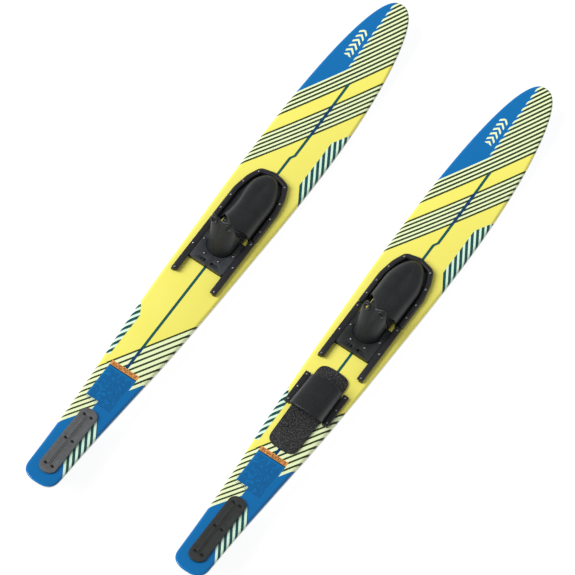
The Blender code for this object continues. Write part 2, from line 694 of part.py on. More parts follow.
def build_heel_rubber(side, slide):
    """The heel cup: a leaning rubber wall whose rear edge carries two finger holes."""
    around, up = 32, 7
    bm = bmesh.new()
    columns = []
    for i in range(around + 1):
        way = -1 + 2 * i / around
        rim = smooth_value(HEEL_RIM, abs(way)) if way else HEEL_RIM[0][1]
        foot = heel_point(side, way, 0)
        column = [bm.verts.new(foot), bm.verts.new(foot + Vector((0, 0, FOOT_RISE)))]
        for k in range(1, up):
            column.append(bm.verts.new(heel_point(side, way, FOOT_RISE + (rim - FOOT_RISE) * k / (up - 1))))
        columns.append(column)
    for left, right in zip(columns, columns[1:]):
        for k in range(up):
            bm.faces.new((left[k], left[k + 1], right[k + 1], right[k]))
    inside = Vector((0, HEEL_FRONT_Y, SKI_THICKNESS + 0.030))
    rubber = finish_sheet(f"{side}_heel_rubber", bm, slide, inside)
    thicken(rubber, HEEL_THICK)

    bm = bmesh.new()
    way, height = FINGER_HOLE
    for sign in (-1, 1):
        here = heel_point(side, sign * way, height)
        across = heel_point(side, sign * (way + 0.02), height) - heel_point(side, sign * (way - 0.02), height)
        upward = heel_point(side, sign * way, height + 0.002) - heel_point(side, sign * way, height - 0.002)
        normal = across.cross(upward).normalized()
        turn = Vector((0, 0, 1)).rotation_difference(normal).to_matrix().to_4x4()
        turn.translation = here
        bmesh.ops.create_cone(bm, cap_ends=True, segments=14, radius1=FINGER_HOLE_RADIUS,
                              radius2=FINGER_HOLE_RADIUS, depth=0.020, matrix=turn)
    holes = finish_object(f"{side}_heel_rubber_holes", bm, None, slide)
    hide_cutter(holes)
    apply_boolean(rubber, holes)
    return rubber


def build_heel_pad(side, slide):
    """The foam pad inside the heel cup."""
    low = SKI_THICKNESS + COVER_Z[0]
    half = HEEL_PAD_HALF
    outline = [(half, HEEL_FRONT_Y), (-half, HEEL_FRONT_Y)]
    outline += arc_points((0, HEEL_CENTRE_Y), half, 180, 360, 10)
    bm = prism_mesh(outline, low, low + PAD_THICK)
    return finish_object(f"{side}_heel_pad", bm, MATERIALS["foam"], slide)


# ------------------------------------------------------------------ the rear toe piece
def rear_pad_outline():
    """The rear foot pad: nearly parallel sides and round ends, wider at the front."""
    rear, front = REAR_PAD_Y
    end_length = 0.036
    points = []
    for sign, start, half, direction in ((1, front, REAR_PAD_HALF[1], -1),
                                         (-1, rear, REAR_PAD_HALF[0], 1)):
        for i in range(13):
            angle = math.radians(180 * i / 12)
            x = sign * half * math.copysign(abs(math.cos(angle)) ** 0.62, math.cos(angle))
            y = start + direction * end_length * (1 - math.sin(angle) ** 0.62)
            points.append((x, y))
    return points


def build_rear_pad(frame):
    low = SKI_THICKNESS + GAP
    bm = prism_mesh(rear_pad_outline(), low, SKI_THICKNESS + REAR_PAD_THICK, 0.0010)
    return finish_object("rear_foot_pad", bm, MATERIALS["foam"], frame)


def build_rear_strap(frame):
    """The rear toe strap: a rubber arch across the pad, higher and wider at its rear edge."""
    deck = SKI_THICKNESS + GAP
    across, along = 18, 6
    bm = bmesh.new()
    rows = []
    for i in range(along + 1):
        t = i / along
        crest = REAR_STRAP_CREST[0] + (REAR_STRAP_CREST[1] - REAR_STRAP_CREST[0]) * t
        foot_y = REAR_STRAP_FOOT_Y[0] + (REAR_STRAP_FOOT_Y[1] - REAR_STRAP_FOOT_Y[0]) * t
        crest_y = REAR_STRAP_CREST_Y[0] + (REAR_STRAP_CREST_Y[1] - REAR_STRAP_CREST_Y[0]) * t
        row = [bm.verts.new((REAR_STRAP_HALF, foot_y, deck))]
        for k in range(across + 1):
            angle = math.radians(180 * k / across)
            arch = max(math.sin(angle), 0.0) ** REAR_STRAP_POWER
            side = math.copysign(abs(math.cos(angle)) ** REAR_STRAP_POWER, math.cos(angle))
            swell = REAR_STRAP_FLARE * (1 - t) * math.sin(2 * min(angle, math.pi - angle))
            row.append(bm.verts.new((side * (REAR_STRAP_HALF + swell),
                                     foot_y + (crest_y - foot_y) * arch,
                                     deck + FOOT_RISE + (crest - FOOT_RISE) * arch)))
        row.append(bm.verts.new((-REAR_STRAP_HALF, foot_y, deck)))
        rows.append(row)
    for near, far in zip(rows, rows[1:]):
        for k in range(across + 2):
            bm.faces.new((near[k], near[k + 1], far[k + 1], far[k]))
    strap = finish_sheet("rear_toe_strap", bm, frame, Vector((0, 0.60, deck)))
    thicken(strap, REAR_STRAP_THICK)
    return strap


def build_rear_clamp(name, frame, sign):
    """The bar that screws one foot of the strap to the deck."""
    deck = SKI_THICKNESS
    inner, outer = REAR_CLAMP_X
    top = deck + REAR_CLAMP_HEIGHT
    outline = box_outline(sorted((sign * inner, sign * outer)), REAR_CLAMP_Y)
    clamp = finish_object(name, prism_mesh(outline, deck + GAP, top, 0.0016),
                          MATERIALS["moulding"], frame)
    holes = hole_cutter(f"{name}_holes", frame, [(sign * REAR_SCREW_X, y) for y in REAR_SCREW_Y],
                        HOLE_RADIUS, (deck - 0.001, top + 0.001))
    apply_boolean(clamp, holes)
    return clamp


# ------------------------------------------------------------------ assembly
def make_empty(name, parent, location=(0, 0, 0), pitch=0.0):
    empty = bpy.data.objects.new(name, None)
    bpy.context.scene.collection.objects.link(empty)
    empty.parent = parent
    empty.location = location
    empty.rotation_euler = (pitch, 0, 0)
    return empty


def ground_lift():
    """How far the pitched ski's origin is above the ground when its belly touches it."""
    samples = (SKI_LENGTH * i / 3400 for i in range(3401))
    return max(y * math.sin(SKI_PITCH) - base_height(y) * math.cos(SKI_PITCH) for y in samples)


def ski_reach():
    """The rearmost and foremost world y of a ski whose frame stands at y = 0."""
    slope, level = math.sin(SKI_PITCH), math.cos(SKI_PITCH)
    end = ski_stations()[0][0]
    return (end * level + base_height(end) * slope,
            SKI_LENGTH * level + deck_height(SKI_LENGTH) * slope)


def build_binding(side, frame, setback, dented):
    """Everything of the adjustable front binding."""
    build_toe_frame(side, frame)
    build_toe_rubber(side, frame, setback, dented)
    build_toe_pad(side, frame)
    for place, sign in (("outer", -1 if side == "left" else 1), ("inner", 1 if side == "left" else -1)):
        build_rail(f"{side}_{place}_rail", frame, sign)
        for number, y in enumerate(RAIL_SCREW_Y, start=1):
            build_screw(f"{side}_{place}_rail_screw_{number}", frame, (sign * RAIL_SCREW_X, y),
                        SKI_THICKNESS + RAIL_HEIGHT, RAIL_HEIGHT + BLIND_DEPTH - 0.001)

    slide = make_empty(f"{side}_heel_slide", frame)
    build_carriage_base(side, slide)
    build_carriage_cover(side, slide)
    build_heel_rubber(side, slide)
    build_heel_pad(side, slide)
    for place, sign in (("outer", -1 if side == "left" else 1), ("inner", 1 if side == "left" else -1)):
        build_lock_bolt(f"{side}_{place}_lock_bolt", slide, sign)
    build_lock_spring(side, slide)


def build_one_ski(side, offset_x, offset_y, lift, plate_material, setback, dented):
    frame = make_empty(f"{side}_ski_frame", None, (offset_x, offset_y, lift), -SKI_PITCH)
    tail_slope = math.atan((deck_height(0) - deck_height(TAIL_BEND_REAR)) / TAIL_BEND_REAR)
    tail_frame = make_empty(f"{side}_tail_frame", frame, (0, 0, deck_height(0)), -tail_slope)

    screw_holes = [(sign * RAIL_SCREW_X, y) for sign in (-1, 1) for y in RAIL_SCREW_Y]
    if side == "right":
        screw_holes += [(sign * REAR_SCREW_X, y) for sign in (-1, 1) for y in REAR_SCREW_Y]
    build_ski(side, frame, tail_frame, screw_holes)

    def ground_height(y):
        return (y * math.sin(SKI_PITCH) - lift) / math.cos(SKI_PITCH)

    build_fin(side, frame, tail_frame, ground_height)
    build_fin_plate(side, tail_frame, plate_material)
    seat = FIN_PLATE_THICK - COUNTERBORE_DEPTH
    for number, place in enumerate(fin_screw_places(), start=1):
        grip = seat + thickness(place[1]) - TUNNEL_DEPTH + FIN_FLANGE_THICK - 0.001
        build_screw(f"{side}_fin_screw_{number}", tail_frame, place, seat, grip)
    build_binding(side, frame, setback, dented)
    return frame


def build_rear_toe_piece(frame):
    build_rear_pad(frame)
    build_rear_strap(frame)
    for place, sign in (("outer", 1), ("inner", -1)):
        build_rear_clamp(f"rear_{place}_clamp", frame, sign)
        for number, y in enumerate(REAR_SCREW_Y, start=1):
            build_screw(f"rear_{place}_clamp_screw_{number}", frame, (sign * REAR_SCREW_X, y),
                        SKI_THICKNESS + REAR_CLAMP_HEIGHT, REAR_CLAMP_HEIGHT + BLIND_DEPTH - 0.001)


for old in list(bpy.data.objects):
    bpy.data.objects.remove(old, do_unlink=True)

MATERIALS = {
    "deck": make_material("deck", (0.92, 0.84, 0.17), 0.25),
    "moulding": make_material("moulding", (0.022, 0.022, 0.024), 0.5),
    "rubber": make_material("rubber", (0.015, 0.016, 0.017), 0.45),
    "foam": make_material("foam", (0.03, 0.03, 0.032), 0.9),
    "fin": make_material("fin", (0.02, 0.02, 0.022), 0.4),
    "lock": make_material("lock", (0.03, 0.03, 0.033), 0.4),
    "steel": make_material("steel", (0.62, 0.62, 0.63), 0.25, 1.0),
    "plate_grey": make_material("plate_grey", (0.16, 0.17, 0.19), 0.45),
    "plate_black": make_material("plate_black", (0.045, 0.045, 0.05), 0.45),
}

LIFT = ground_lift()
REACH_REAR, REACH_FRONT = ski_reach()
MIDDLE_Y = (REACH_REAR + REACH_FRONT + RIGHT_SKI_LEAD) / 2
build_one_ski("left", -SKI_SPACING / 2, -MIDDLE_Y, LIFT, MATERIALS["plate_grey"], (0.012, -0.010),
              True)
RIGHT_FRAME = build_one_ski("right", SKI_SPACING / 2, RIGHT_SKI_LEAD - MIDDLE_Y, LIFT,
                            MATERIALS["plate_black"], (0.028, -0.005), False)
build_rear_toe_piece(RIGHT_FRAME)
bpy.context.view_layer.update()
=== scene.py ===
import math

import bmesh
import bpy
from mathutils import Matrix, Vector


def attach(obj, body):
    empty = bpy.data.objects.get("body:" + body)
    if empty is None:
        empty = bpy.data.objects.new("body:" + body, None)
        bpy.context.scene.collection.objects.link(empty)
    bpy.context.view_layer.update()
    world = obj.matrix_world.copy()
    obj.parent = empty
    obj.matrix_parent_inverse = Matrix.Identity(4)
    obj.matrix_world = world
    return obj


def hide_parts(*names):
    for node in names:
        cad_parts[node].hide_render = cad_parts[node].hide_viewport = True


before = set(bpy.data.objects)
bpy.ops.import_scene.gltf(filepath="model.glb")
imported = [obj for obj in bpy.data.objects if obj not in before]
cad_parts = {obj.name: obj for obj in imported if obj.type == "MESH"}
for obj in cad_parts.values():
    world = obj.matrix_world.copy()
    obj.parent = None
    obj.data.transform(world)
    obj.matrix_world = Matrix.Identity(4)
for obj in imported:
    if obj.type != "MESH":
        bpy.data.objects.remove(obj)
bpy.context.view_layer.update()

# ---- where the two skis lie (metres, in the row frame) ----
PITCH = math.radians(2.6)
SPACING = 0.4184
LEAD = 0.019
LIFT = 0.0520253
MIDDLE = 0.8621317
GAP = 0.0003

# ---- the ski ----
LENGTH = 1.700
DECK = 0.021
END_THINNING = 0.011
WIDEST_HALF = 0.092
WIDEST_Y = 1.190
TIP_ROUND = (2.2, 2.4)
TAIL_ROUND_LENGTH = 0.045
TAIL_ROUND = 2.6
WAIST = ((0.0, 0.0445), (0.17, 0.0497), (0.34, 0.0590), (0.51, 0.0708), (0.68, 0.0790),
         (0.85, 0.0846), (1.02, 0.0898), (1.19, 0.0920))
TAIL_BEND = (0.260, 0.400)
TAIL_RISE = 0.030
TIP_BEND_START = 1.110
TIP_RISE = 0.076
TUNNEL_DEPTH = 0.0025

# ---- bindings ----
BAND_HALF = 0.0078
BAND_HEIGHT = 0.0135
LEG_X = 0.058
LEG_REAR_Y = 0.9125
TOE_CORNERS = ((LEG_X, 1.018), (0.0497, 1.0650), (0.0360, 1.0995), (0.0, 1.1095))
CORNER_CUT = 0.008
SETBACK = {"left": (0.012, -0.010), "right": (0.028, -0.005)}
DENT = {"left": 0.012, "right": 0.0}
DENT_Y = (0.905, 1.065)
CREST_Y = (0.881, 1.046)
CREST = (0.054, 0.034)
ARCH_POWER = 0.75
RAIL_X = (0.0490, 0.0648)
RAIL_Y = (0.7230, 0.9110)
RAIL_HEIGHT = 0.0120
RAIL_SCREWS = (0.7290, 0.8150, 0.9000)
RAIL_SCREW_X = 0.0580
RAIL_GROOVE = (0.0060, 0.0050)   # depth and height
NOTCH_PITCH = 0.008
NOTCH_HALF = 0.0021
NOTCH_DEPTH = 0.0036
NOTCH_Z = (0.0040, 0.0098)
NOTCH_STEPS = range(-6, 14)      # counted from the bolts at rest
TOE_PAD_Y = (0.8905, 1.0675)
TOE_PAD_HALF = 0.0372
TOE_PAD_FRONT = 0.035            # length of its round front
CARRIAGE_Y = (0.7800, 0.8875)
COVER_HALF = 0.0482
COVER_Z = (0.0050, 0.0120)
COVER_SCREWS = ((0.0205, 0.8075), (0.0425, 0.8430))
CHANNEL = (0.0080, 0.0093)       # the bolts' channel: half length along the ski, and top
BOLT_Y = 0.7910
WELL_X = (0.0075, 0.0265)
WELL_HALF = 0.0042
HEEL_CENTRE_Y = 0.8505
HEEL_RADIUS = 0.0350
HEEL_FRONT_Y = 0.8855
HEEL_POSE = {"left": (0.036, -0.018), "right": (0.045, -0.005)}
HEEL_REF = 0.100
HEEL_RIM = ((0.0, 0.1010), (0.1, 0.1045), (0.2, 0.1075), (0.28, 0.1040), (0.36, 0.0920), (0.5, 0.0740),
            (0.75, 0.0470), (1.0, 0.0260))
FINGER_HOLE = (0.2, 0.0935)
HEEL_PAD_HALF = 0.0288
HOLE_RADIUS = 0.0063
LIP_RADIUS = 0.0084
LIP_WIRE = (0.0021, 0.0019)      # half width and half height of the lip round a finger hole
FOOT_RISE = 0.004                # every rubber sheet leaves its seat upright for this height
RUBBER_WALL = 0.0034
PAD_TOP = 0.0040

# ---- the plate over the fin ----
PLATE_Y = (0.035, 0.264)
PLATE_HALF = 0.0230
PLATE_THICK = 0.0050
PLATE_SCREW_X = 0.0095
PLATE_SCREW_Y = (0.0600, 0.1530, 0.2405)
SINK_RADIUS = 0.0047
SINK_DEPTH = 0.0026
GROOVE_X = 0.0022
GROOVE_SIZE = 0.0012             # half width, and depth

# ---- the rear toe piece, on the right ski ----
REAR_PAD_Y = (0.441, 0.713)
REAR_PAD_HALF = (0.0400, 0.0430)     # at the rear and at the front
REAR_PAD_END = 0.036
REAR_PAD_POWER = 0.62
REAR_PAD_TOP = 0.0050
STRAP_HALF = 0.0465
STRAP_FOOT_Y = (0.5640, 0.6560)
STRAP_CREST_Y = (0.539, 0.657)
STRAP_CREST = (0.056, 0.040)
STRAP_SWELL = 0.003
STRAP_POWER = 0.74
STRAP_WALL = 0.0033
CLAMP_X = (0.0472, 0.0630)
CLAMP_Y = (0.5625, 0.6660)
CLAMP_HEIGHT = 0.0090
CLAMP_SCREW_X = 0.0556
CLAMP_SCREW_Y = (0.5710, 0.6142, 0.6575)


# ------------------------------------------------------------------ the ski's lines
def tail_share(y):
    bend = TAIL_BEND[1] - TAIL_BEND[0]
    arc = max(TAIL_BEND[1] - max(y, TAIL_BEND[0]), 0.0)
    run = max(TAIL_BEND[0] - y, 0.0)
    return (arc ** 2 + 2 * bend * run) / (bend ** 2 + 2 * bend * TAIL_BEND[0])


def tip_share(y):
    return max(y - TIP_BEND_START, 0.0) / (LENGTH - TIP_BEND_START)


def deck_height(y):
    return DECK + TAIL_RISE * tail_share(y) + TIP_RISE * tip_share(y) ** 2.1


def thickness(y):
    return DECK - END_THINNING * (tail_share(y) + tip_share(y) ** 1.3)


def smooth_value(points, at):
    """A Catmull-Rom curve through (position, value) points."""
    last = len(points) - 1
    i = min(max(sum(1 for p in points if p[0] <= at) - 1, 0), last - 1)
    before, start, end, after = (points[min(max(i + k, 0), last)] for k in (-1, 0, 1, 2))
    span = end[0] - start[0]
    t = (at - start[0]) / span
    slope_in = (end[1] - before[1]) / (end[0] - before[0]) * span
    slope_out = (after[1] - start[1]) / (after[0] - start[0]) * span
    return ((2 * t ** 3 - 3 * t ** 2 + 1) * start[1] + (t ** 3 - 2 * t ** 2 + t) * slope_in
            + (3 * t ** 2 - 2 * t ** 3) * end[1] + (t ** 3 - t ** 2) * slope_out)


# ------------------------------------------------------------------ placing pieces
TAIL_SLOPE = math.atan((deck_height(0) - deck_height(TAIL_BEND[0])) / TAIL_BEND[0])
PLACE = {"origin": Matrix()}
for _side, _x, _lead in (("left", -SPACING / 2, 0.0), ("right", SPACING / 2, LEAD)):
    PLACE[_side] = Matrix.Translation((_x, _lead - MIDDLE, LIFT)) @ Matrix.Rotation(-PITCH, 4, "X")
    PLACE[_side + "_tail"] = (PLACE[_side] @ Matrix.Translation((0, 0, deck_height(0)))
                              @ Matrix.Rotation(-TAIL_SLOPE, 4, "X"))


def make_object(name, bm, materials, place, smooth=35.0):
    """An object from a bmesh in ski coordinates, its edges sharp above the given angle."""
    mesh = bpy.data.meshes.new(name)
    bm.to_mesh(mesh)
    bm.free()
    for material in materials if isinstance(materials, (list, tuple)) else [materials]:
        mesh.materials.append(material)
    mesh.transform(PLACE[place])
    mesh.shade_smooth()
    if smooth < 180:
        mesh.set_sharp_from_angle(angle=math.radians(smooth))
    obj = bpy.data.objects.new(name, mesh)
    bpy.context.scene.collection.objects.link(obj)
    return obj


def add_modifier(obj, kind, **values):
    modifier = obj.modifiers.new(kind.lower(), kind)
    for key, value in values.items():
        setattr(modifier, key, value)
    return modifier


def bake(obj, smooth=None):
    """Apply the modifiers."""
    bpy.context.view_layer.update()
    graph = bpy.context.evaluated_depsgraph_get()
    mesh = bpy.data.meshes.new_from_object(obj.evaluated_get(graph))
    obj.modifiers.clear()
    obj.data = mesh
    if smooth is not None:
        mesh.shade_smooth()
        mesh.set_sharp_from_angle(angle=math.radians(smooth))
    return obj


def cut(obj, cutter_bm, place):
    """Take a bmesh away from an object."""
    bmesh.ops.recalc_face_normals(cutter_bm, faces=cutter_bm.faces)
    cutter = make_object("cutter", cutter_bm, [], place)
    add_modifier(obj, "BOOLEAN", operation="DIFFERENCE", solver="EXACT", object=cutter)
    bake(obj)
    bpy.data.objects.remove(cutter, do_unlink=True)


def finish(obj, body, slot, *nodes):
    """Ride the piece on its body and hide the CAD nodes it stands for; the slot is not used."""
    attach(obj, body)
    if nodes:
        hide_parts(*nodes)
    return obj


# ------------------------------------------------------------------ mesh helpers
def loft(rings, closed=True, cap=True):
    bm = bmesh.new()
    loops = [[bm.verts.new(point) for point in ring] for ring in rings]
    count = len(rings[0])
    for lower, upper in zip(loops, loops[1:]):
        for i in range(count if closed else count - 1):
            j = (i + 1) % count
            bm.faces.new((lower[i], lower[j], upper[j], upper[i]))
    if cap:
        bm.faces.new(loops[0])
        bm.faces.new(loops[-1])
    bmesh.ops.recalc_face_normals(bm, faces=bm.faces)
    return bm


def prism(outline, low, high):
    return loft([[(x, y, z) for x, y in outline] for z in (low, high)])


def box_outline(x_range, y_range):
    (x0, x1), (y0, y1) = sorted(x_range), sorted(y_range)
    return [(x0, y0), (x1, y0), (x1, y1), (x0, y1)]


def arc_points(centre, radius, start, end, steps):
    angles = (math.radians(start + (end - start) * i / steps) for i in range(steps + 1))
    return [(centre[0] + radius * math.cos(a), centre[1] + radius * math.sin(a)) for a in angles]


def rounded_outline(x_range, y_range, radius, steps=4):
    """A rectangle with round corners."""
    (x0, x1), (y0, y1) = sorted(x_range), sorted(y_range)
    points = []
    for cx, cy, start in ((x1 - radius, y0 + radius, -90), (x1 - radius, y1 - radius, 0),
                          (x0 + radius, y1 - radius, 90), (x0 + radius, y0 + radius, 180)):
        points += arc_points((cx, cy), radius, start, start + 90, steps)
    return points


def add_disc(bm, centre, profile, sides=20, matrix=None):
    """Add a turned piece: profile is (radius, z) from the bottom to the top."""
    rings = []
    for radius, z in profile:
        ring = [Vector((centre[0] + radius * math.cos(2 * math.pi * i / sides),
                        centre[1] + radius * math.sin(2 * math.pi * i / sides), z))
                for i in range(sides)]
        rings.append([bm.verts.new(matrix @ p if matrix else p) for p in ring])
    for lower, upper in zip(rings, rings[1:]):
        for i in range(sides):
            j = (i + 1) % sides
            bm.faces.new((lower[i], lower[j], upper[j], upper[i]))
    bm.faces.new(rings[0][::-1])
    bm.faces.new(rings[-1])


def rounded_path(points, cut_length, steps):
    path = [Vector(points[0])]
    for before, here, after in zip(points, points[1:], points[2:]):
        before, here, after = Vector(before), Vector(here), Vector(after)
        start = here + (before - here).normalized() * min(cut_length, (before - here).length / 2)
        end = here + (after - here).normalized() * min(cut_length, (after - here).length / 2)
        for i in range(steps + 1):
            t = i / steps
            path.append(start * (1 - t) ** 2 + here * 2 * t * (1 - t) + end * t ** 2)
    path.append(Vector(points[-1]))
    return path


def sweep(path, profile, end_radius):
    """Carry (outward, up) points along a flat path with rounded ends."""
    stations = [(Vector(p), 1.0) for p in path]
    first = (Vector(path[0]) - Vector(path[1])).normalized()
    last = (Vector(path[-1]) - Vector(path[-2])).normalized()
    for degrees in (20, 38, 54, 68, 80):
        reach = end_radius * math.sin(math.radians(degrees))
        share = math.cos(math.radians(degrees))
        stations.insert(0, (Vector(path[0]) + first * reach, share))
        stations.append((Vector(path[-1]) + last * reach, share))
    rings = []
    for i, (point, share) in enumerate(stations):
        before = stations[max(i - 1, 0)][0]
        after = stations[min(i + 1, len(stations) - 1)][0]
        side_in = (point - before).normalized() if i else (after - point).normalized()
        side_out = (after - point).normalized() if i < len(stations) - 1 else side_in
        tangent = (side_in + side_out).normalized()
        stretch = 1 / max(tangent.dot(side_in), 0.5)
        normal = Vector((tangent.y, -tangent.x)) * stretch
        rings.append([(point.x + normal.x * n * share, point.y + normal.y * n * share, z)
                      for n, z in profile])
    return loft(rings)


def sheet_object(name, bm, inside, material, place, wall):
    """An open rubber sheet, given a wall on the side of the point inside it."""
    bmesh.ops.recalc_face_normals(bm, faces=bm.faces)
    bm.normal_update()
    if sum(f.normal.dot(f.calc_center_median() - Vector(inside)) for f in bm.faces) < 0:
        bmesh.ops.reverse_faces(bm, faces=bm.faces)
    obj = make_object(name, bm, material, place, 180)
    add_modifier(obj, "SOLIDIFY", thickness=wall, offset=-1.0, use_even_offset=True)
    return obj


# ------------------------------------------------------------------ materials
class Field:
    """A value in a node tree. Arithmetic on it adds Math nodes."""

    def __init__(self, tree, socket):
        self.tree, self.socket = tree, socket

    def math(self, operation, *others, clamp=False):
        node = self.tree.nodes.new("ShaderNodeMath")
        node.operation = operation
        node.use_clamp = clamp
        for i, value in enumerate((self, *others)):
            if isinstance(value, Field):
                self.tree.links.new(value.socket, node.inputs[i])
            else:
                node.inputs[i].default_value = value
        return Field(self.tree, node.outputs[0])

    def __add__(self, other):
        return self.math("ADD", other)

    def __sub__(self, other):
        return self.math("SUBTRACT", other)

    def __mul__(self, other):
        return self.math("MULTIPLY", other)

    def above(self, edge, soft=0.5):
        """1 where the value is over the edge, 0 under it."""
        return self.math("MULTIPLY_ADD", 1 / soft, 0.5 - edge / soft, clamp=True)

    def below(self, edge, soft=0.5):
        return self.math("MULTIPLY_ADD", -1 / soft, 0.5 + edge / soft, clamp=True)

    def between(self, low, high, soft=0.5):
        return self.above(low, soft) * self.below(high, soft)

    def bars(self, start, pitch, width, soft=0.5):
        """1 on bars of that width, the first from start, one every pitch."""
        turn = self.math("MULTIPLY_ADD", 1 / pitch, 0.5 - (start + width / 2) / pitch)
        return (turn.math("FRACT") - 0.5).math("ABSOLUTE").below(width / 2 / pitch, soft / pitch)

    def inverse(self):
        return self.math("MULTIPLY_ADD", -1.0, 1.0)


def srgb(r, g, b):
    """A colour given in screen values from 0 to 255."""
    return tuple((c / 255 / 12.92) if c <= 10 else ((c / 255 + 0.055) / 1.055) ** 2.4
                 for c in (r, g, b))


class Paint:
    """A material under construction."""

    def __init__(self, name, colour, roughness, metallic=0.0, specular=0.5, coat=0.0):
        self.material = bpy.data.materials.new(name)
        self.material.use_nodes = True
        self.tree = self.material.node_tree
        self.shader = self.tree.nodes["Principled BSDF"]
        self.shader.inputs["Base Color"].default_value = (*colour, 1)
        self.shader.inputs["Roughness"].default_value = roughness
        self.shader.inputs["Metallic"].default_value = metallic
        self.shader.inputs["Specular IOR Level"].default_value = specular
        self.shader.inputs["Coat Weight"].default_value = coat
        self.shader.inputs["Coat Roughness"].default_value = 0.08
        self.colour = (*colour, 1)
        self.coords = self.tree.nodes.new("ShaderNodeTexCoord").outputs["Object"]

    def node(self, kind, **values):
        made = self.tree.nodes.new(kind)
        for key, value in values.items():
            if key in made.inputs:
                target = made.inputs[key]
                if hasattr(value, "is_output"):
                    self.tree.links.new(value, target)
                else:
                    target.default_value = value
            else:
                setattr(made, key, value)
        return made

    def noise(self, scale, detail=2.0, roughness=0.5, coords=None):
        made = self.node("ShaderNodeTexNoise", Scale=scale, Detail=detail, Roughness=roughness,
                         Vector=coords or self.coords)
        return Field(self.tree, made.outputs["Fac"])

    def cells(self, scale):
        made = self.node("ShaderNodeTexVoronoi", Scale=scale, Vector=self.coords)
        return Field(self.tree, made.outputs["Distance"])

    def axes(self, scale=1000.0):
        split = self.node("ShaderNodeSeparateXYZ", Vector=self.coords)
        return [Field(self.tree, socket) * scale for socket in split.outputs]

    def layer(self, mask, colour):
        """Lay a colour over what is there, where the mask is 1."""
        mix = self.tree.nodes.new("ShaderNodeMix")
        mix.data_type = "RGBA"
        self.tree.links.new(mask.socket, mix.inputs["Factor"])
        under, over = mix.inputs[6], mix.inputs[7]
        for target, value in ((under, self.colour), (over, colour)):
            if hasattr(value, "is_output"):
                self.tree.links.new(value, target)
            else:
                target.default_value = (*value, 1) if len(value) == 3 else value
        self.colour = mix.outputs[2]

    def roughness(self, field, low, high):
        spread = field.math("MULTIPLY_ADD", high - low, low, clamp=True)
        self.tree.links.new(spread.socket, self.shader.inputs["Roughness"])

    def bump(self, height, strength, distance):
        node = self.node("ShaderNodeBump", Strength=strength, Distance=distance, Height=height.socket)
        self.tree.links.new(node.outputs["Normal"], self.shader.inputs["Normal"])

    def done(self):
        if hasattr(self.colour, "is_output"):
            self.tree.links.new(self.colour, self.shader.inputs["Base Color"])
        return self.material


YELLOW = srgb(247, 239, 112)
PALE = srgb(240, 251, 200)
WHITE = srgb(222, 250, 226)
LINE_GREEN = srgb(44, 62, 24)
TEAL = srgb(20, 78, 80)
CENTRE_TEAL = srgb(18, 86, 84)
BLUE = srgb(0, 108, 174)
DEEP_BLUE = srgb(0, 60, 104)
ORANGE = srgb(226, 150, 80)
RUST = srgb(74, 52, 30)
RISE = 1.83      # of the lines that rise to the right
FALL = 1.86      # of the bars that fall to the right
PRINT_FIT = {"left": (1.0, 0.0), "right": (1 / 0.9819, -12.8 / 0.9819)}    # scale, shift in mm


def ski_coordinates(paint, side):
    """Turn a material's coordinates into the ski's own."""
    back = PLACE[side].inverted()
    mapping = paint.node("ShaderNodeMapping", Vector=paint.coords, Location=back.to_translation(),
                         Rotation=back.to_euler())
    paint.coords = mapping.outputs[0]


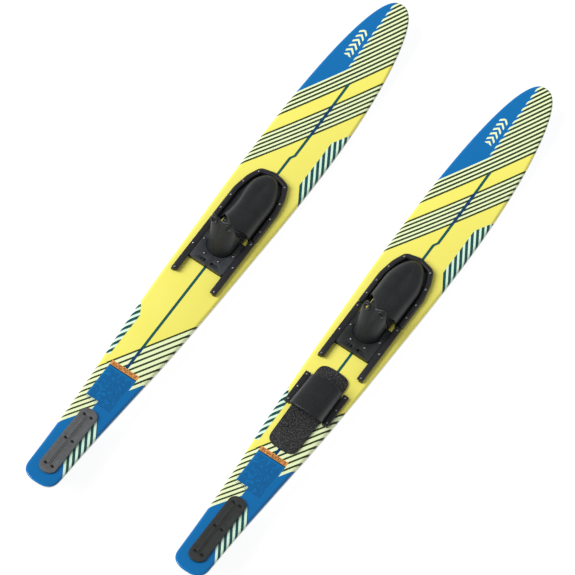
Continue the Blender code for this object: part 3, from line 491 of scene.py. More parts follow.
def print_material(side):
    """The deck's printed graphics. Every bare number is in millimetres of the ski's own frame."""
    p = Paint(f"{side}_deck_print", YELLOW, 0.22, specular=0.35, coat=0.08)
    ski_coordinates(p, side)
    x, true_y, _ = p.axes()
    y = true_y.math("MULTIPLY_ADD", *PRINT_FIT[side])
    rising = y - x * RISE
    falling = y + x * FALL

    grain = p.noise(9.0, 3.0)
    p.layer(grain.between(0.52, 0.75, 0.2) * 0.25, srgb(244, 231, 98))
    # two bands of lines ahead of the binding, and the tip
    band = rising.between(1249, 1361)
    p.layer(band, PALE)
    p.layer(band * rising.bars(1248.8, 20.5, 10.3), LINE_GREEN)
    tip = rising.above(1426)
    p.layer(tip, PALE)
    tip_lines = rising.bars(1425.6, 20.7, 10.8)
    p.layer(tip * tip_lines, LINE_GREEN)
    panel = (x - tip_lines * 5.0).below(-19) * rising.above(1508)
    p.layer(panel, BLUE)
    # plain chevrons on the blue panel
    across = (x + 39.0).math("ABSOLUTE")
    chevrons = (y + across * 0.9).bars(1526, 15.0, 6.5) * across.below(11) * y.between(1508, 1590)
    p.layer(chevrons, PALE)
    # teal bars at the right edge ahead of the binding, and at the left edge behind it
    bars = x.above(61.3) * falling.above(1243) * rising.below(1168)
    p.layer(bars, WHITE)
    p.layer(bars * falling.bars(1243, 27.2, 15.4), TEAL)
    rear_bars = x.below(-53.3) * falling.below(466) * y.above(425)
    p.layer(rear_bars, TEAL)
    p.layer(rear_bars * rising.bars(635.5, 28.5, 13), WHITE)
    # the lines behind the binding
    aft = rising.below(491) * y.above(403)
    p.layer(aft, PALE)
    p.layer(aft * rising.bars(481.3, 28.1, 10.6), LINE_GREEN)
    # the blue tail, with the pale fields left in it
    tail = y.below(403)
    p.layer(tail, BLUE)
    right_field = tail * x.above(39) * rising.above(297)
    p.layer(right_field, PALE)
    p.layer(right_field * rising.bars(481.3, 28.1, 10.6), LINE_GREEN)
    left_field = tail * rising.between(271, 488) * (x.below(-39) * y.above(295)
                                                   + x.below(-4) * y.below(295))
    p.layer(left_field, PALE)
    p.layer(left_field * rising.bars(480.3, 24.3, 9.6), LINE_GREEN)
    p.layer(tail * x.below(-45) * rising.above(488), YELLOW)
    fin_bars = x.above(23.5) * falling.between(136, 294)
    p.layer(fin_bars, TEAL)
    p.layer(fin_bars * falling.bars(164.0, 28.1, 13.4), WHITE)
    # the centre line with its jog
    jog = y.math("MULTIPLY_ADD", 1 / 13, -1181 / 13, clamp=True).math("MULTIPLY_ADD", 6.5, 1.0)
    centre = (x - jog).math("ABSOLUTE").below(3.5) * rising.below(1430) * y.above(412)
    p.layer(centre, CENTRE_TEAL)
    p.layer(centre * band.math("MAXIMUM", aft), DEEP_BLUE)
    # a plain label: an orange band of dashes over a blue block with hairlines
    inside = x.between(-39, 39)
    p.layer(inside * y.between(400.5, 404), srgb(30, 60, 70))
    p.layer(inside * y.between(404, 417.5), ORANGE)
    dashes = p.noise(260.0, 1.0).above(0.46, 0.08) * y.bars(405.8, 3.6, 2.2)
    p.layer(x.between(-34, 34) * dashes * y.between(405, 416.5), RUST)
    hair = y.bars(300, 4.6, 2.0) * y.between(286, 396)
    broken = p.noise(120.0, 1.0).above(0.42, 0.08)
    p.layer(x.between(-35, 35) * hair * broken * 0.8, DEEP_BLUE)

    p.roughness(p.noise(40.0, 4.0, 0.6), 0.18, 0.34)
    p.bump(p.noise(420.0, 2.0), 0.05, 0.0004)
    return p.done()


def moulded_material(name, grey, low, high, grain=900.0, strength=0.35, speck=0.6):
    """Moulded plastic with a fine spark-eroded grain and pale specks."""
    p = Paint(name, grey, high, specular=0.5)
    cells = p.cells(grain)
    cloud = p.noise(70.0, 3.0)
    lighter = tuple(c * 2.3 + 0.008 for c in grey)
    p.layer(cells.below(0.30, 0.3) * speck, lighter)
    p.layer(cloud.between(0.5, 0.8, 0.3) * 0.35, tuple(c * 1.6 + 0.004 for c in grey))
    p.roughness(cloud, low, high)
    p.bump(cells * 0.7 + p.noise(grain * 0.5, 3.0) * 0.5, strength, 0.0005)
    return p.done()


def rubber_material():
    p = Paint("smooth_rubber", srgb(24, 26, 27), 0.42, specular=0.42)
    cloud = p.noise(28.0, 4.0, 0.55)
    p.layer(cloud.between(0.45, 0.8, 0.3) * 0.5, srgb(34, 37, 39))
    p.layer(p.noise(190.0, 3.0).between(0.55, 0.8, 0.2) * 0.3, srgb(44, 47, 49))
    p.roughness(cloud, 0.38, 0.52)
    p.bump(p.noise(650.0, 3.0) * 0.4 + p.noise(14.0, 2.0) * 1.0, 0.12, 0.0008)
    return p.done()


def foam_material():
    """Embossed foam: pebbles with a painted highlight on top and painted shade in the pits."""
    p = Paint("pebbled_foam", srgb(34, 34, 36), 0.75, specular=0.3)
    cells = p.cells(330.0)
    fine = p.cells(700.0)
    # painted highlight: the raised pebble tops are painted lighter
    p.layer(cells.below(0.40, 0.25), srgb(104, 104, 104))
    # painted shade: the pits between the pebbles are painted dark
    p.layer(fine.above(0.5, 0.25) * 0.8, srgb(14, 14, 16))
    p.layer(p.noise(30.0, 2.0).between(0.5, 0.8, 0.3) * 0.25, srgb(66, 66, 66))
    p.roughness(p.noise(60.0, 2.0), 0.62, 0.85)
    p.bump(cells.inverse() * 1.0 + fine.inverse() * 0.4, 0.9, 0.0014)
    return p.done()


def steel_material(name, bright, dark):
    p = Paint(name, srgb(*bright), 0.30, metallic=1.0)
    p.layer(p.noise(300.0, 2.0).between(0.5, 0.8, 0.2) * 0.5, srgb(*dark))
    p.roughness(p.noise(500.0, 2.0), 0.24, 0.42)
    return p.done()


def edge_material():
    """The off-white side wall."""
    p = Paint("side_wall", srgb(236, 238, 232), 0.35, specular=0.5, coat=0.2)
    p.layer(p.noise(30.0, 3.0).between(0.5, 0.8, 0.3) * 0.3, srgb(214, 218, 212))
    p.roughness(p.noise(90.0, 3.0), 0.25, 0.45)
    p.bump(p.noise(300.0, 2.0), 0.08, 0.0005)
    return p.done()


def base_material(side):
    p = Paint(f"{side}_running_base", srgb(228, 228, 220), 0.30, specular=0.5, coat=0.2)
    ski_coordinates(p, side)
    x, y, _ = p.axes()
    p.layer(x.math("ABSOLUTE").between(19, 24) * y.between(300, 1350), srgb(0, 104, 176))
    p.layer(y.below(300) + y.above(1430), srgb(0, 104, 176))
    scratch = p.noise(1.0, 2.0, coords=p.node("ShaderNodeMapping", Vector=p.coords,
                                              Scale=(900.0, 12.0, 12.0)).outputs[0])
    p.roughness(scratch, 0.22, 0.42)
    p.bump(scratch, 0.06, 0.0004)
    return p.done()


EDGE = edge_material()
# painted shadow: a grey band just below the side's widest line stands for the shadow line along the
# ski's lower edge
EDGE_SHADOW = moulded_material("painted_edge_shadow", srgb(92, 92, 84), 0.4, 0.6, 300.0, 0.1, 0.1)
MOULDING = moulded_material("grained_moulding", srgb(25, 25, 29), 0.36, 0.54)
COVER = {
    "left": moulded_material("left_cover_moulding", srgb(42, 45, 48), 0.36, 0.56, 420.0, 0.5, 0.9),
    "right": moulded_material("right_cover_moulding", srgb(28, 31, 31), 0.36, 0.56, 420.0, 0.5, 0.8)}
RUBBER = rubber_material()
FOAM = foam_material()
STEEL = steel_material("bright_steel", (205, 206, 210), (150, 150, 154))
FIN_BLACK = moulded_material("fin_moulding", srgb(24, 24, 27), 0.3, 0.45, 500.0, 0.2, 0.3)
PLATE_GREY = moulded_material("grey_plate", srgb(84, 86, 88), 0.4, 0.6, 500.0, 0.3, 0.4)
PLATE_BLACK = moulded_material("black_plate", srgb(42, 45, 43), 0.4, 0.6, 500.0, 0.3, 0.4)
LOCK = moulded_material("lock_moulding", srgb(34, 34, 38), 0.3, 0.5, 700.0, 0.2, 0.4)
DULL_STEEL = steel_material("dull_steel", (176, 176, 180), (110, 110, 114))
DARK_STEEL = moulded_material("blackened_steel", srgb(20, 20, 22), 0.3, 0.5, 600.0, 0.2, 0.2)


# ------------------------------------------------------------------ screws
def screw_mesh(name, material, radius, height):
    """A pan head with a cross recess."""
    bm = bmesh.new()
    add_disc(bm, (0, 0), [(radius * 0.55, -0.004), (radius * 0.55, 0.0), (radius, 0.0),
                          (radius, height * 0.35), (radius * 0.94, height * 0.62),
                          (radius * 0.78, height * 0.86), (radius * 0.5, height)], 24)
    head = make_object(name, bm, material, "origin", 40)
    for turn in (0, 1):
        long, short = radius * 0.55, radius * 0.13
        half = (long, short) if turn else (short, long)
        cut(head, prism(box_outline((-half[0], half[0]), (-half[1], half[1])),
                        height * 0.45, height * 2), "origin")
    mesh = head.data
    mesh.shade_smooth()
    mesh.set_sharp_from_angle(angle=math.radians(40))
    bpy.data.objects.remove(head, do_unlink=True)
    return mesh


PAN_HEAD = screw_mesh("pan_head", DULL_STEEL, 0.0027, 0.0015)
SUNK_HEAD = screw_mesh("sunk_head", DARK_STEEL, 0.0037, 0.0014)


def screw(name, mesh, place, position, body, turn, *nodes):
    obj = bpy.data.objects.new(name, mesh)
    bpy.context.scene.collection.objects.link(obj)
    obj.matrix_world = PLACE[place] @ Matrix.Translation(position) @ Matrix.Rotation(turn, 4, "Z")
    return finish(obj, body, "steel", *nodes)


def boss(bm, position, top, radius=0.0052):
    """A low raised ring round a screw."""
    add_disc(bm, position, [(radius, top - 0.002), (radius, top + 0.0004),
                            (radius - 0.0005, top + 0.0008), (radius - 0.0014, top + 0.0008),
                            (radius - 0.0016, top + 0.0002)], 24)


# ------------------------------------------------------------------ ski
SKI_LEVELS = ((0.0085, 0.00), (0.0050, 0.03), (0.0022, 0.15), (0.0006, 0.34), (0.0, 0.52),
              (0.0, 0.68), (0.0008, 0.82), (0.0026, 0.94), (0.0065, 1.00))    # inset, share of depth


def ski_outline():
    """The right half of the ski's outline, from the middle of the tail to the middle of the tip."""
    points = [(0.0, 0.0)]
    for i in range(1, 24):
        angle = math.radians(90 * i / 24)
        y = TAIL_ROUND_LENGTH * (1 - math.cos(angle) ** (2 / TAIL_ROUND))
        points.append((smooth_value(WAIST, y) * math.sin(angle) ** (2 / TAIL_ROUND), y))
    steps = 60
    for i in range(steps + 1):
        y = TAIL_ROUND_LENGTH + (WIDEST_Y - TAIL_ROUND_LENGTH) * i / steps
        points.append((smooth_value(WAIST, y), y))
    for i in range(1, 64):
        angle = math.radians(90 * i / 64)
        points.append((WIDEST_HALF * math.cos(angle) ** (2 / TIP_ROUND[1]),
                       WIDEST_Y + (LENGTH - WIDEST_Y) * math.sin(angle) ** (2 / TIP_ROUND[0])))
    return points + [(0.0, LENGTH)]


def ski_rings():
    """Cross-sections whose edge keeps the same roundness all the way round tip and tail."""
    outline = ski_outline()
    rings = []
    for i, (x, y) in enumerate(outline):
        before = outline[max(i - 1, 0)]
        after = outline[min(i + 1, len(outline) - 1)]
        along = Vector((after[0] - before[0], after[1] - before[1])).normalized()
        if i in (0, len(outline) - 1):
            along = Vector((1.0, 0.0)) if i == 0 else Vector((-1.0, 0.0))
        right = []
        for inset, share in SKI_LEVELS:
            inner_x = max(x - along.y * inset, 0.0)
            inner_y = y + along.x * inset
            right.append((inner_x, inner_y, deck_height(inner_y) - share * thickness(inner_y)))
        edge_x, edge_y, base = right[-1]
        tunnel = TUNNEL_DEPTH * (1 - min(tip_share(edge_y) * 3, 1))
        middle = [(edge_x * part, edge_y, base + lift) for part, lift in
                  ((0.62, 0.0), (0.45, tunnel), (-0.45, tunnel), (-0.62, 0.0))]
        rings.append(right + middle + [(-px, py, pz) for px, py, pz in reversed(right)])
    return rings


def build_ski(side):
    rings = ski_rings()
    bm = loft(rings, cap=False)
    count = len(rings[0])
    levels = len(SKI_LEVELS)
    for index, face in enumerate(bm.faces):
        column = index % count
        level = min(column, 2 * levels + 2 - column)
        if column == count - 1 or level < 3:
            face.material_index = 0
        elif level < levels - 1:
            # level 5, just under the widest line, carries the painted edge shadow
            face.material_index = 3 if level == 5 else 1
        else:
            face.material_index = 2
    bmesh.ops.remove_doubles(bm, verts=bm.verts, dist=1e-6)
    bmesh.ops.recalc_face_normals(bm, faces=bm.faces)
    ski = make_object(f"{side}_ski_body", bm, [print_material(side), EDGE, base_material(side), EDGE_SHADOW],
                      side, 50)
    return finish(ski, f"{side}_ski", "deck", f"{side}_ski")


# ------------------------------------------------------------------ fin plate
def build_fin_plate(side):
    material = PLATE_GREY if side == "left" else PLATE_BLACK
    rear, front, thick = PLATE_Y[0] + PLATE_HALF, PLATE_Y[1] - PLATE_HALF, PLATE_THICK
    outline = (arc_points((0, front), PLATE_HALF, 0, 180, 32)
               + arc_points((0, rear), PLATE_HALF, 180, 360, 32))
    plate = make_object(f"{side}_plate", prism(outline, GAP, thick), material, f"{side}_tail", 35)
    bm = bmesh.new()
    places = [(sign * PLATE_SCREW_X, y) for y in PLATE_SCREW_Y for sign in (-1, 1)]
    for spot in places:
        add_disc(bm, spot, [(SINK_RADIUS, thick - SINK_DEPTH), (SINK_RADIUS, thick + 0.001)], 28)
    cut(plate, bm, f"{side}_tail")
    for x in (-GROOVE_X, GROOVE_X):
        groove = rounded_outline((x - GROOVE_SIZE, x + GROOVE_SIZE), (rear, front), 0.0010, 2)
        cut(plate, prism(groove, thick - GROOVE_SIZE, thick + 0.001), f"{side}_tail")
    add_modifier(plate, "BEVEL", width=0.0008, segments=3, limit_method="ANGLE",
                 angle_limit=math.radians(40), use_clamp_overlap=True)
    bake(plate, 30)
    finish(plate, f"{side}_ski", "plate_grey" if side == "left" else "plate_black",
           f"{side}_fin_plate")
    for number, spot in enumerate(places, start=1):
        screw(f"{side}_plate_screw_{number}", SUNK_HEAD, f"{side}_tail",
              (*spot, thick - SINK_DEPTH + GAP), f"{side}_ski", number * 0.9,
              f"{side}_fin_screw_{number}")


# ------------------------------------------------------------------ front binding
FRAME_SCREWS = ((0.0380, 1.0915), (0.0538, 1.0430), (0.0578, 0.9900), (0.0578, 0.9440))


def toe_path():
    right = [(LEG_X, LEG_REAR_Y + BAND_HALF)] + list(TOE_CORNERS)
    return rounded_path(right + [(-x, y) for x, y in reversed(right[:-1])], CORNER_CUT, 8)


def build_toe_frame(side):
    path = toe_path()
    h, top = BAND_HALF, DECK + BAND_HEIGHT
    profile = [(-h, DECK + GAP), (h, DECK + GAP), (h, top - 0.0058), (h - 0.0003, top - 0.0048),
               (h - 0.0022, top - 0.0011), (h - 0.0030, top - 0.0003), (h - 0.0040, top),
               (-h + 0.0036, top - 0.0002), (-h + 0.0027, top - 0.0005),
               (-h + 0.0018, top - 0.0013), (-h + 0.0004, top - 0.0046), (-h, top - 0.0056)]
    band = make_object(f"{side}_toe_band", sweep(path, profile, h), MOULDING, side, 28)
    finish(band, f"{side}_ski", "moulding", f"{side}_toe_frame")
    bm = bmesh.new()
    spots = [(sign * x, y) for x, y in FRAME_SCREWS for sign in (-1, 1)]
    for spot in spots:
        boss(bm, spot, top - 0.0002, 0.0048)
    rings = make_object(f"{side}_toe_band_bosses", bm, MOULDING, side, 40)
    finish(rings, f"{side}_ski", "moulding")
    for number, spot in enumerate(spots, start=1):
        screw(f"{side}_toe_band_screw_{number}", PAN_HEAD, side, (*spot, top + GAP),
              f"{side}_ski", number * 0.7)


def toe_outline(setback, leg_steps=12, curve_steps=26):
    inset = BAND_HALF + 0.0016
    half = LEG_X - inset
    front_y = TOE_CORNERS[-1][1] - inset - 0.15 * CORNER_CUT
    shoulder_y = TOE_CORNERS[0][1] - CORNER_CUT
    sides = []
    for sign, rear in ((-1, setback[0]), (1, setback[1])):
        start_y = LEG_REAR_Y + rear
        leg = [(sign * half, start_y + (shoulder_y - start_y) * i / leg_steps)
               for i in range(leg_steps)]
        curve = []
        for i in range(curve_steps):
            angle = math.radians(90 * i / curve_steps)
            curve.append((sign * half * math.cos(angle) ** 0.95,
                          shoulder_y + (front_y - shoulder_y) * math.sin(angle) ** 1.3))
        sides.append(leg + curve)
    return sides[0] + [(0.0, front_y)] + sides[1][::-1]


def dent_reach(side, x, y, share):
    """How far the left wall is pushed in, for a share of the way from the foot to the crest."""
    along = (y - DENT_Y[0]) / (DENT_Y[1] - DENT_Y[0])
    if x > 0 or not 0 < along < 1:
        return 0.0
    return DENT[side] * math.sin(math.pi * along ** 0.8) * math.sin(math.pi * math.sqrt(share))


def build_toe_rubber(side):
    deck = DECK + GAP
    steps = 22
    full = toe_outline((0.0, 0.0))
    front_y = max(y for x, y in full)
    bm = bmesh.new()
    columns = []
    for (x, y), (_, full_y) in zip(toe_outline(SETBACK[side]), full):
        along = (full_y - LEG_REAR_Y) / (front_y - LEG_REAR_Y)
        crest_y = CREST_Y[0] + (CREST_Y[1] - CREST_Y[0]) * along
        crest = CREST[0] + (CREST[1] - CREST[0]) * along ** 1.6
        column = [bm.verts.new((x, y, deck))]
        for i in range(steps):
            share = i / (steps - 1)
            angle = math.radians(90 * share)
            reach = 1 - math.cos(angle) ** ARCH_POWER if i < steps - 1 else 1.0
            lift = FOOT_RISE + (crest - FOOT_RISE) * math.sin(angle) ** ARCH_POWER
            dent = dent_reach(side, x, y, share)
            column.append(bm.verts.new((x * (1 - reach) + dent, y + (crest_y - y) * reach,
                                        deck + lift)))
        columns.append(column)
    for left, right in zip(columns, columns[1:]):
        for i in range(steps):
            bm.faces.new((left[i], left[i + 1], right[i + 1], right[i]))
    bmesh.ops.remove_doubles(bm, verts=bm.verts, dist=1e-5)
    rubber = sheet_object(f"{side}_toe_piece", bm, (0, 0.99, deck), RUBBER, side, RUBBER_WALL)
    add_modifier(rubber, "SUBSURF", levels=1, render_levels=1)
    bake(rubber, 60)
    finish(rubber, f"{side}_ski", "rubber", f"{side}_toe_rubber")
    # the flange that the frame clamps, seen in the gap beside the rubber's foot
    path = toe_path()
    inner, outer = -BAND_HALF - 0.0100, -BAND_HALF - 0.0002
    profile = [(inner, DECK + GAP), (outer, DECK + GAP), (outer, DECK + 0.0020),
               (inner, DECK + 0.0014)]
    lip = make_object(f"{side}_toe_flange", sweep(path, profile, 0.004), RUBBER, side, 35)
    finish(lip, f"{side}_ski", "rubber")


def build_toe_pad(side):
    half, rear, shoulder = TOE_PAD_HALF, TOE_PAD_Y[0], TOE_PAD_Y[1] - TOE_PAD_FRONT
    outline = [(-half, rear), (half, rear), (half, shoulder)]
    outline += [(half * math.cos(math.radians(a)), shoulder + TOE_PAD_FRONT * math.sin(math.radians(a)))
                for a in range(10, 180, 10)]
    outline += [(-half, shoulder)]
    pad = make_object(f"{side}_toe_foam", prism(outline, DECK + GAP, DECK + PAD_TOP), FOAM, side, 40)
    add_modifier(pad, "BEVEL", width=0.0008, segments=2, limit_method="ANGLE")
    bake(pad, 40)
    finish(pad, f"{side}_ski", "foam", f"{side}_toe_pad")


def build_rail(side, place, sign):
    inner, outer = RAIL_X
    top = DECK + RAIL_HEIGHT
    depth, height = RAIL_GROOVE
    profile = [(inner + depth, DECK + GAP), (outer, DECK + GAP), (outer, top), (inner, top),
               (inner, DECK + height), (inner + depth, DECK + height)]
    rings = [[(sign * x, y, z) for x, z in profile] for y in RAIL_Y]
    rail = make_object(f"{side}_{place}_track", loft(rings), MOULDING, side, 35)
    bm = bmesh.new()
    for step in NOTCH_STEPS:
        near = BOLT_Y + step * NOTCH_PITCH - NOTCH_HALF
        far = BOLT_Y + step * NOTCH_PITCH + NOTCH_HALF
        mouth, end = sign * (inner - 0.001), sign * (inner + NOTCH_DEPTH)
        ring = [(mouth, near), (end, near), (end, far), (mouth, far)]
        low, high = ([bm.verts.new((x, y, DECK + z)) for x, y in ring] for z in NOTCH_Z)
        for i in range(4):
            bm.faces.new((low[i], low[(i + 1) % 4], high[(i + 1) % 4], high[i]))
        bm.faces.new(low)
        bm.faces.new(high)
    cut(rail, bm, side)
    add_modifier(rail, "BEVEL", width=0.0011, segments=2, limit_method="ANGLE",
                 angle_limit=math.radians(50), use_clamp_overlap=True)
    bake(rail, 35)
    finish(rail, f"{side}_ski", "moulding", f"{side}_{place}_rail")
    bm = bmesh.new()
    for y in RAIL_SCREWS:
        boss(bm, (sign * RAIL_SCREW_X, y), top, 0.0046)
    bosses = make_object(f"{side}_{place}_track_bosses", bm, MOULDING, side, 40)
    finish(bosses, f"{side}_ski", "moulding")
    for number, y in enumerate(RAIL_SCREWS, start=1):
        nodes = [f"{side}_{place}_rail_screw_{number}"] if number < 3 else []
        screw(f"{side}_{place}_track_screw_{number}", PAN_HEAD, side,
              (sign * RAIL_SCREW_X, y, top + GAP), f"{side}_ski", number * 1.1 + sign, *nodes)


def build_cover(side):
    """The sliding plate round the heel rubber, with its two finger wells."""
    rear, front = CARRIAGE_Y
    opening = HEEL_RADIUS + 0.0010
    low, high = DECK + COVER_Z[0], DECK + COVER_Z[1]
    bend = arc_points((0, HEEL_CENTRE_Y), opening, 360, 180, 40)
    outline = [(-COVER_HALF + 0.003, rear), (COVER_HALF - 0.003, rear), (COVER_HALF, rear + 0.003),
               (COVER_HALF, front), (opening, front)]
    outline += bend + [(-opening, front), (-COVER_HALF, front), (-COVER_HALF, rear + 0.003)]
    cover = make_object(f"{side}_slide_plate", prism(outline, low, high), COVER[side], side, 35)
    channel = prism(box_outline((-COVER_HALF - 0.001, COVER_HALF + 0.001),
                                (BOLT_Y - CHANNEL[0], BOLT_Y + CHANNEL[0])),
                    low - 0.001, DECK + CHANNEL[1])
    cut(cover, channel, side)
    for sign in (-1, 1):
        cut(cover, prism(rounded_outline([sign * x for x in WELL_X],
                                         (BOLT_Y - WELL_HALF, BOLT_Y + WELL_HALF), 0.0020),
                         DECK + 0.0083, high + 0.001), side)
        for row in range(3):
            y = 0.8560 + row * 0.0075
            slot = rounded_outline((sign * 0.0395, sign * 0.0460), (y, y + 0.0030), 0.0010, 2)
            cut(cover, prism(slot, high - 0.0012, high + 0.001), side)
    add_modifier(cover, "BEVEL", width=0.0009, segments=2, limit_method="ANGLE",
                 angle_limit=math.radians(50), use_clamp_overlap=True)
    bake(cover, 35)
    finish(cover, f"{side}_heel", "moulding", f"{side}_slide_cover")
    bm = bmesh.new()
    spots = [(sign * x, y) for x, y in COVER_SCREWS for sign in (-1, 1)]
    for spot in spots:
        boss(bm, spot, high, 0.0046)
    bosses = make_object(f"{side}_slide_plate_bosses", bm, MOULDING, side, 40)
    finish(bosses, f"{side}_heel", "moulding")
    for number, spot in enumerate(spots, start=1):
        screw(f"{side}_slide_plate_screw_{number}", PAN_HEAD, side, (*spot, high + GAP),
              f"{side}_heel", number * 0.8)


def heel_point(side, way, height):
    leg = HEEL_FRONT_Y - HEEL_CENTRE_Y
    quarter = HEEL_RADIUS * math.pi / 2
    run = abs(way) * (leg + quarter)
    angle = min(run / HEEL_RADIUS, math.pi / 2)
    x = HEEL_RADIUS * math.sin(angle)
    y = HEEL_CENTRE_Y - HEEL_RADIUS * math.cos(angle) + max(run - quarter, 0.0)
    up = height / HEEL_REF
    waist = 1 - 0.07 * math.sin(math.pi * min(up, 1.0)) + 0.25 * up ** 3.0
    forward, sideways = (reach * up ** 1.4 for reach in HEEL_POSE[side])
    return Vector((math.copysign(x, way) * waist + sideways, y + forward * (1 - 0.55 * abs(way)),
                   DECK + COVER_Z[0] + height))


def hole_frame(side, sign):
    """Where a finger hole is, as a matrix whose z axis leaves the rubber."""
    way, height = FINGER_HOLE
    across = (heel_point(side, sign * (way + 0.02), height)
              - heel_point(side, sign * (way - 0.02), height))
    upward = (heel_point(side, sign * way, height + 0.002)
              - heel_point(side, sign * way, height - 0.002))
    normal = across.cross(upward).normalized()
    if normal.y > 0:
        normal = -normal
    turn = Vector((0, 0, 1)).rotation_difference(normal).to_matrix().to_4x4()
    turn.translation = heel_point(side, sign * way, height)
    return turn


def build_heel_rubber(side):
    around, up = 72, 22
    bm = bmesh.new()
    columns = []
    for i in range(around + 1):
        way = -1 + 2 * i / around
        rim = smooth_value(HEEL_RIM, abs(way))
        foot = heel_point(side, way, 0)
        column = [bm.verts.new(foot), bm.verts.new(foot + Vector((0, 0, FOOT_RISE)))]
        for k in range(1, up):
            height = FOOT_RISE + (rim - FOOT_RISE) * k / (up - 1)
            column.append(bm.verts.new(heel_point(side, way, height)))
        columns.append(column)
    for left, right in zip(columns, columns[1:]):
        for k in range(up):
            bm.faces.new((left[k], left[k + 1], right[k + 1], right[k]))
    rubber = sheet_object(f"{side}_heel_cup", bm, (0, HEEL_FRONT_Y, DECK + 0.030), RUBBER, side,
                          RUBBER_WALL)
    add_modifier(rubber, "SUBSURF", levels=1, render_levels=1)
    bake(rubber)
    bm = bmesh.new()
    for sign in (-1, 1):
        add_disc(bm, (0, 0), [(HOLE_RADIUS, -0.012), (HOLE_RADIUS, 0.012)], 40, hole_frame(side, sign))
    cut(rubber, bm, side)
    rubber.data.shade_smooth()
    rubber.data.set_sharp_from_angle(angle=math.radians(50))
    finish(rubber, f"{side}_heel", "rubber", f"{side}_heel_rubber")
    for sign, word in ((-1, "left"), (1, "right")):
        lip = bmesh.new()
        matrix = hole_frame(side, sign)
        rings = []
        for i in range(48):
            angle = 2 * math.pi * i / 48
            ring = []
            for k in range(10):
                turn = 2 * math.pi * k / 10
                radius = LIP_RADIUS + LIP_WIRE[0] * math.cos(turn)
                ring.append(matrix @ Vector((radius * math.cos(angle), radius * math.sin(angle),
                                             0.0002 + LIP_WIRE[1] * math.sin(turn))))
            rings.append(ring)
        loops = [[lip.verts.new(p) for p in ring] for ring in rings]
        for a, b in zip(loops, loops[1:] + loops[:1]):
            for k in range(10):
                lip.faces.new((a[k], a[(k + 1) % 10], b[(k + 1) % 10], b[k]))
        bmesh.ops.recalc_face_normals(lip, faces=lip.faces)
        ring_object = make_object(f"{side}_heel_cup_{word}_lip", lip, RUBBER, side, 180)
        finish(ring_object, f"{side}_heel", "rubber")


def build_heel_pad(side):
    low = DECK + COVER_Z[0]
    half = HEEL_PAD_HALF
    outline = [(half, HEEL_FRONT_Y - GAP), (-half, HEEL_FRONT_Y - GAP)]
    outline += arc_points((0, HEEL_CENTRE_Y), half, 180, 360, 30)
    pad = make_object(f"{side}_heel_foam", prism(outline, low, low + PAD_TOP), FOAM, side, 40)
    add_modifier(pad, "BEVEL", width=0.0008, segments=2, limit_method="ANGLE")
    bake(pad, 40)
    finish(pad, f"{side}_heel", "foam", f"{side}_heel_pad")


# ------------------------------------------------------------------ rear toe piece
def build_rear_pad():
    outline = []
    for sign, start, half, direction in ((1, REAR_PAD_Y[1], REAR_PAD_HALF[1], -1),
                                         (-1, REAR_PAD_Y[0], REAR_PAD_HALF[0], 1)):
        for i in range(33):
            angle = math.radians(180 * i / 32)
            x = sign * half * math.copysign(abs(math.cos(angle)) ** REAR_PAD_POWER, math.cos(angle))
            y = start + direction * REAR_PAD_END * (1 - math.sin(angle) ** REAR_PAD_POWER)
            outline.append((x, y))
    pad = make_object("rear_foam", prism(outline, DECK + GAP, DECK + REAR_PAD_TOP), FOAM, "right", 40)
    add_modifier(pad, "BEVEL", width=0.0013, segments=3, limit_method="ANGLE")
    bake(pad, 40)
    finish(pad, "right_ski", "foam", "rear_foot_pad")


def build_rear_strap():
    deck = DECK + GAP
    across, along = 60, 20
    bm = bmesh.new()
    rows = []
    for i in range(along + 1):
        t = i / along
        crest = STRAP_CREST[0] + (STRAP_CREST[1] - STRAP_CREST[0]) * t
        foot_y = STRAP_FOOT_Y[0] + (STRAP_FOOT_Y[1] - STRAP_FOOT_Y[0]) * t
        crest_y = STRAP_CREST_Y[0] + (STRAP_CREST_Y[1] - STRAP_CREST_Y[0]) * t
        row = [bm.verts.new((STRAP_HALF, foot_y, deck))]
        for k in range(across + 1):
            angle = math.radians(180 * k / across)
            arch = max(math.sin(angle), 0.0) ** STRAP_POWER
            side = math.copysign(abs(math.cos(angle)) ** STRAP_POWER, math.cos(angle))
            swell = STRAP_SWELL * (1 - t) * math.sin(2 * min(angle, math.pi - angle))
            row.append(bm.verts.new((side * (STRAP_HALF + swell), foot_y + (crest_y - foot_y) * arch,
                                     deck + FOOT_RISE + (crest - FOOT_RISE) * arch)))
        row.append(bm.verts.new((-STRAP_HALF, foot_y, deck)))
        rows.append(row)
    for near, far in zip(rows, rows[1:]):
        for k in range(across + 2):
            bm.faces.new((near[k], near[k + 1], far[k + 1], far[k]))
    strap = sheet_object("rear_strap", bm, (0, 0.60, deck), RUBBER, "right", STRAP_WALL)
    add_modifier(strap, "SUBSURF", levels=1, render_levels=1)
    bake(strap, 60)
    finish(strap, "right_ski", "rubber", "rear_toe_strap")


def build_rear_clamp(place, sign):
    top = DECK + CLAMP_HEIGHT
    outline = rounded_outline([sign * x for x in CLAMP_X], CLAMP_Y, 0.0025, 4)
    clamp = make_object(f"rear_{place}_bar", prism(outline, DECK + GAP, top), MOULDING, "right", 35)
    add_modifier(clamp, "BEVEL", width=0.0016, segments=3, limit_method="ANGLE")
    bake(clamp, 35)
    finish(clamp, "right_ski", "moulding", f"rear_{place}_clamp")
    bm = bmesh.new()
    for y in CLAMP_SCREW_Y:
        boss(bm, (sign * CLAMP_SCREW_X, y), top, 0.0050)
    bosses = make_object(f"rear_{place}_bar_bosses", bm, MOULDING, "right", 40)
    finish(bosses, "right_ski", "moulding")
    for number, y in enumerate(CLAMP_SCREW_Y, start=1):
        screw(f"rear_{place}_bar_screw_{number}", PAN_HEAD, "right",
              (sign * CLAMP_SCREW_X, y, top + GAP), "right_ski", number + sign,
              f"rear_{place}_clamp_screw_{number}")


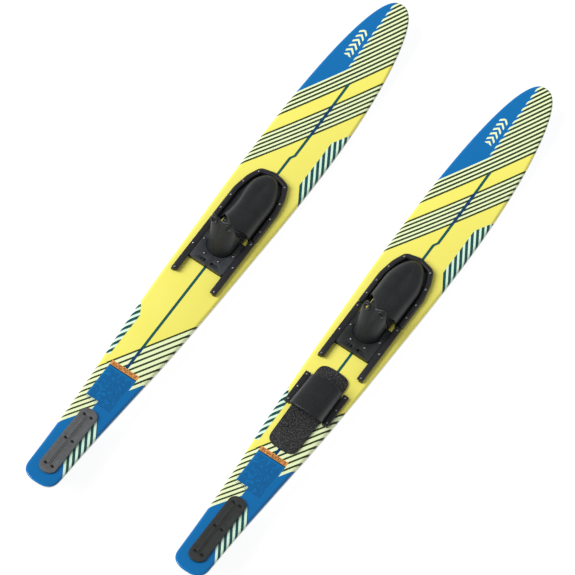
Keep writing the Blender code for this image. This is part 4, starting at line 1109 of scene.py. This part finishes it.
# ------------------------------------------------------------------ everything
for SIDE, OUTWARD in (("left", -1), ("right", 1)):
    build_ski(SIDE)
    build_fin_plate(SIDE)
    build_toe_frame(SIDE)
    build_toe_rubber(SIDE)
    build_toe_pad(SIDE)
    build_rail(SIDE, "outer", OUTWARD)
    build_rail(SIDE, "inner", -OUTWARD)
    build_cover(SIDE)
    build_heel_rubber(SIDE)
    build_heel_pad(SIDE)
    for node, material in (("fin", FIN_BLACK), ("slide_base", MOULDING), ("outer_lock_bolt", LOCK),
                           ("inner_lock_bolt", LOCK), ("lock_spring", STEEL)):
        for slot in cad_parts[f"{SIDE}_{node}"].material_slots:
            slot.material = material
build_rear_pad()
build_rear_strap()
for WHERE, OUTWARD in (("outer", 1), ("inner", -1)):
    build_rear_clamp(WHERE, OUTWARD)


# ------------------------------------------------------------------ floor, light, camera
def build_stage():
    paint = Paint("studio_floor", srgb(110, 110, 110), 0.9, specular=0.0)
    paint.shader.inputs["Emission Color"].default_value = (1, 1, 1, 1)
    paint.shader.inputs["Emission Strength"].default_value = 0.92
    bm = bmesh.new()
    bmesh.ops.create_grid(bm, x_segments=2, y_segments=2, size=20.0)
    mesh = bpy.data.meshes.new("studio_floor")
    bm.to_mesh(mesh)
    bm.free()
    mesh.materials.append(paint.done())
    floor = bpy.data.objects.new("studio_floor", mesh)
    bpy.context.scene.collection.objects.link(floor)


AZIMUTH, ELEVATION, ROLL = 0.2709, 1.0464, 0.3357      # radians
DISTANCE = 17.827
IMAGE_SIZE = 575
FOCAL_LENGTH = 7272.2            # in pixels of the image
SENSOR = 36
TARGET = Vector((-0.0130, -0.0057, 0.040))
WORLD_STRENGTH = 0.36
KEY_ENERGY = 3.3
KEY_SPREAD = 38                  # degrees
KEY_SIDE = (-0.68, 0.40, -0.72)  # towards the key light: right, up and into the picture


def build_camera():
    level = math.cos(ELEVATION)
    look = Vector((-math.sin(AZIMUTH) * level, math.cos(AZIMUTH) * level, -math.sin(ELEVATION)))
    right = look.cross(Vector((0, 0, 1))).normalized()
    up = right.cross(look)
    turned_right = right * math.cos(ROLL) + up * math.sin(ROLL)
    turned_up = -right * math.sin(ROLL) + up * math.cos(ROLL)
    data = bpy.data.cameras.new("camera")
    data.lens = FOCAL_LENGTH / IMAGE_SIZE * SENSOR
    data.sensor_width = SENSOR
    data.clip_end = 200
    camera = bpy.data.objects.new("camera", data)
    bpy.context.scene.collection.objects.link(camera)
    rotation = Matrix((turned_right, turned_up, -look)).transposed().to_4x4()
    half_pixel = 0.5 * DISTANCE / FOCAL_LENGTH
    place = TARGET - look * DISTANCE - turned_right * half_pixel + turned_up * half_pixel
    camera.matrix_world = Matrix.Translation(place) @ rotation
    bpy.context.scene.camera = camera
    return turned_right, turned_up, look


def build_light(right, up, look):
    world = bpy.context.scene.world or bpy.data.worlds.new("world")
    bpy.context.scene.world = world
    world.use_nodes = True
    background = world.node_tree.nodes["Background"]
    background.inputs["Color"].default_value = (1, 1, 1, 1)
    background.inputs["Strength"].default_value = WORLD_STRENGTH
    sun = bpy.data.lights.new("key", "SUN")
    sun.energy = KEY_ENERGY
    sun.angle = math.radians(KEY_SPREAD)
    lamp = bpy.data.objects.new("key", sun)
    bpy.context.scene.collection.objects.link(lamp)
    towards = (right * KEY_SIDE[0] + up * KEY_SIDE[1] + look * KEY_SIDE[2]).normalized()
    lamp.rotation_euler = towards.to_track_quat("Z", "Y").to_euler()
    bpy.context.scene.view_settings.view_transform = "Standard"


build_stage()
build_light(*build_camera())
bpy.context.view_layer.update()
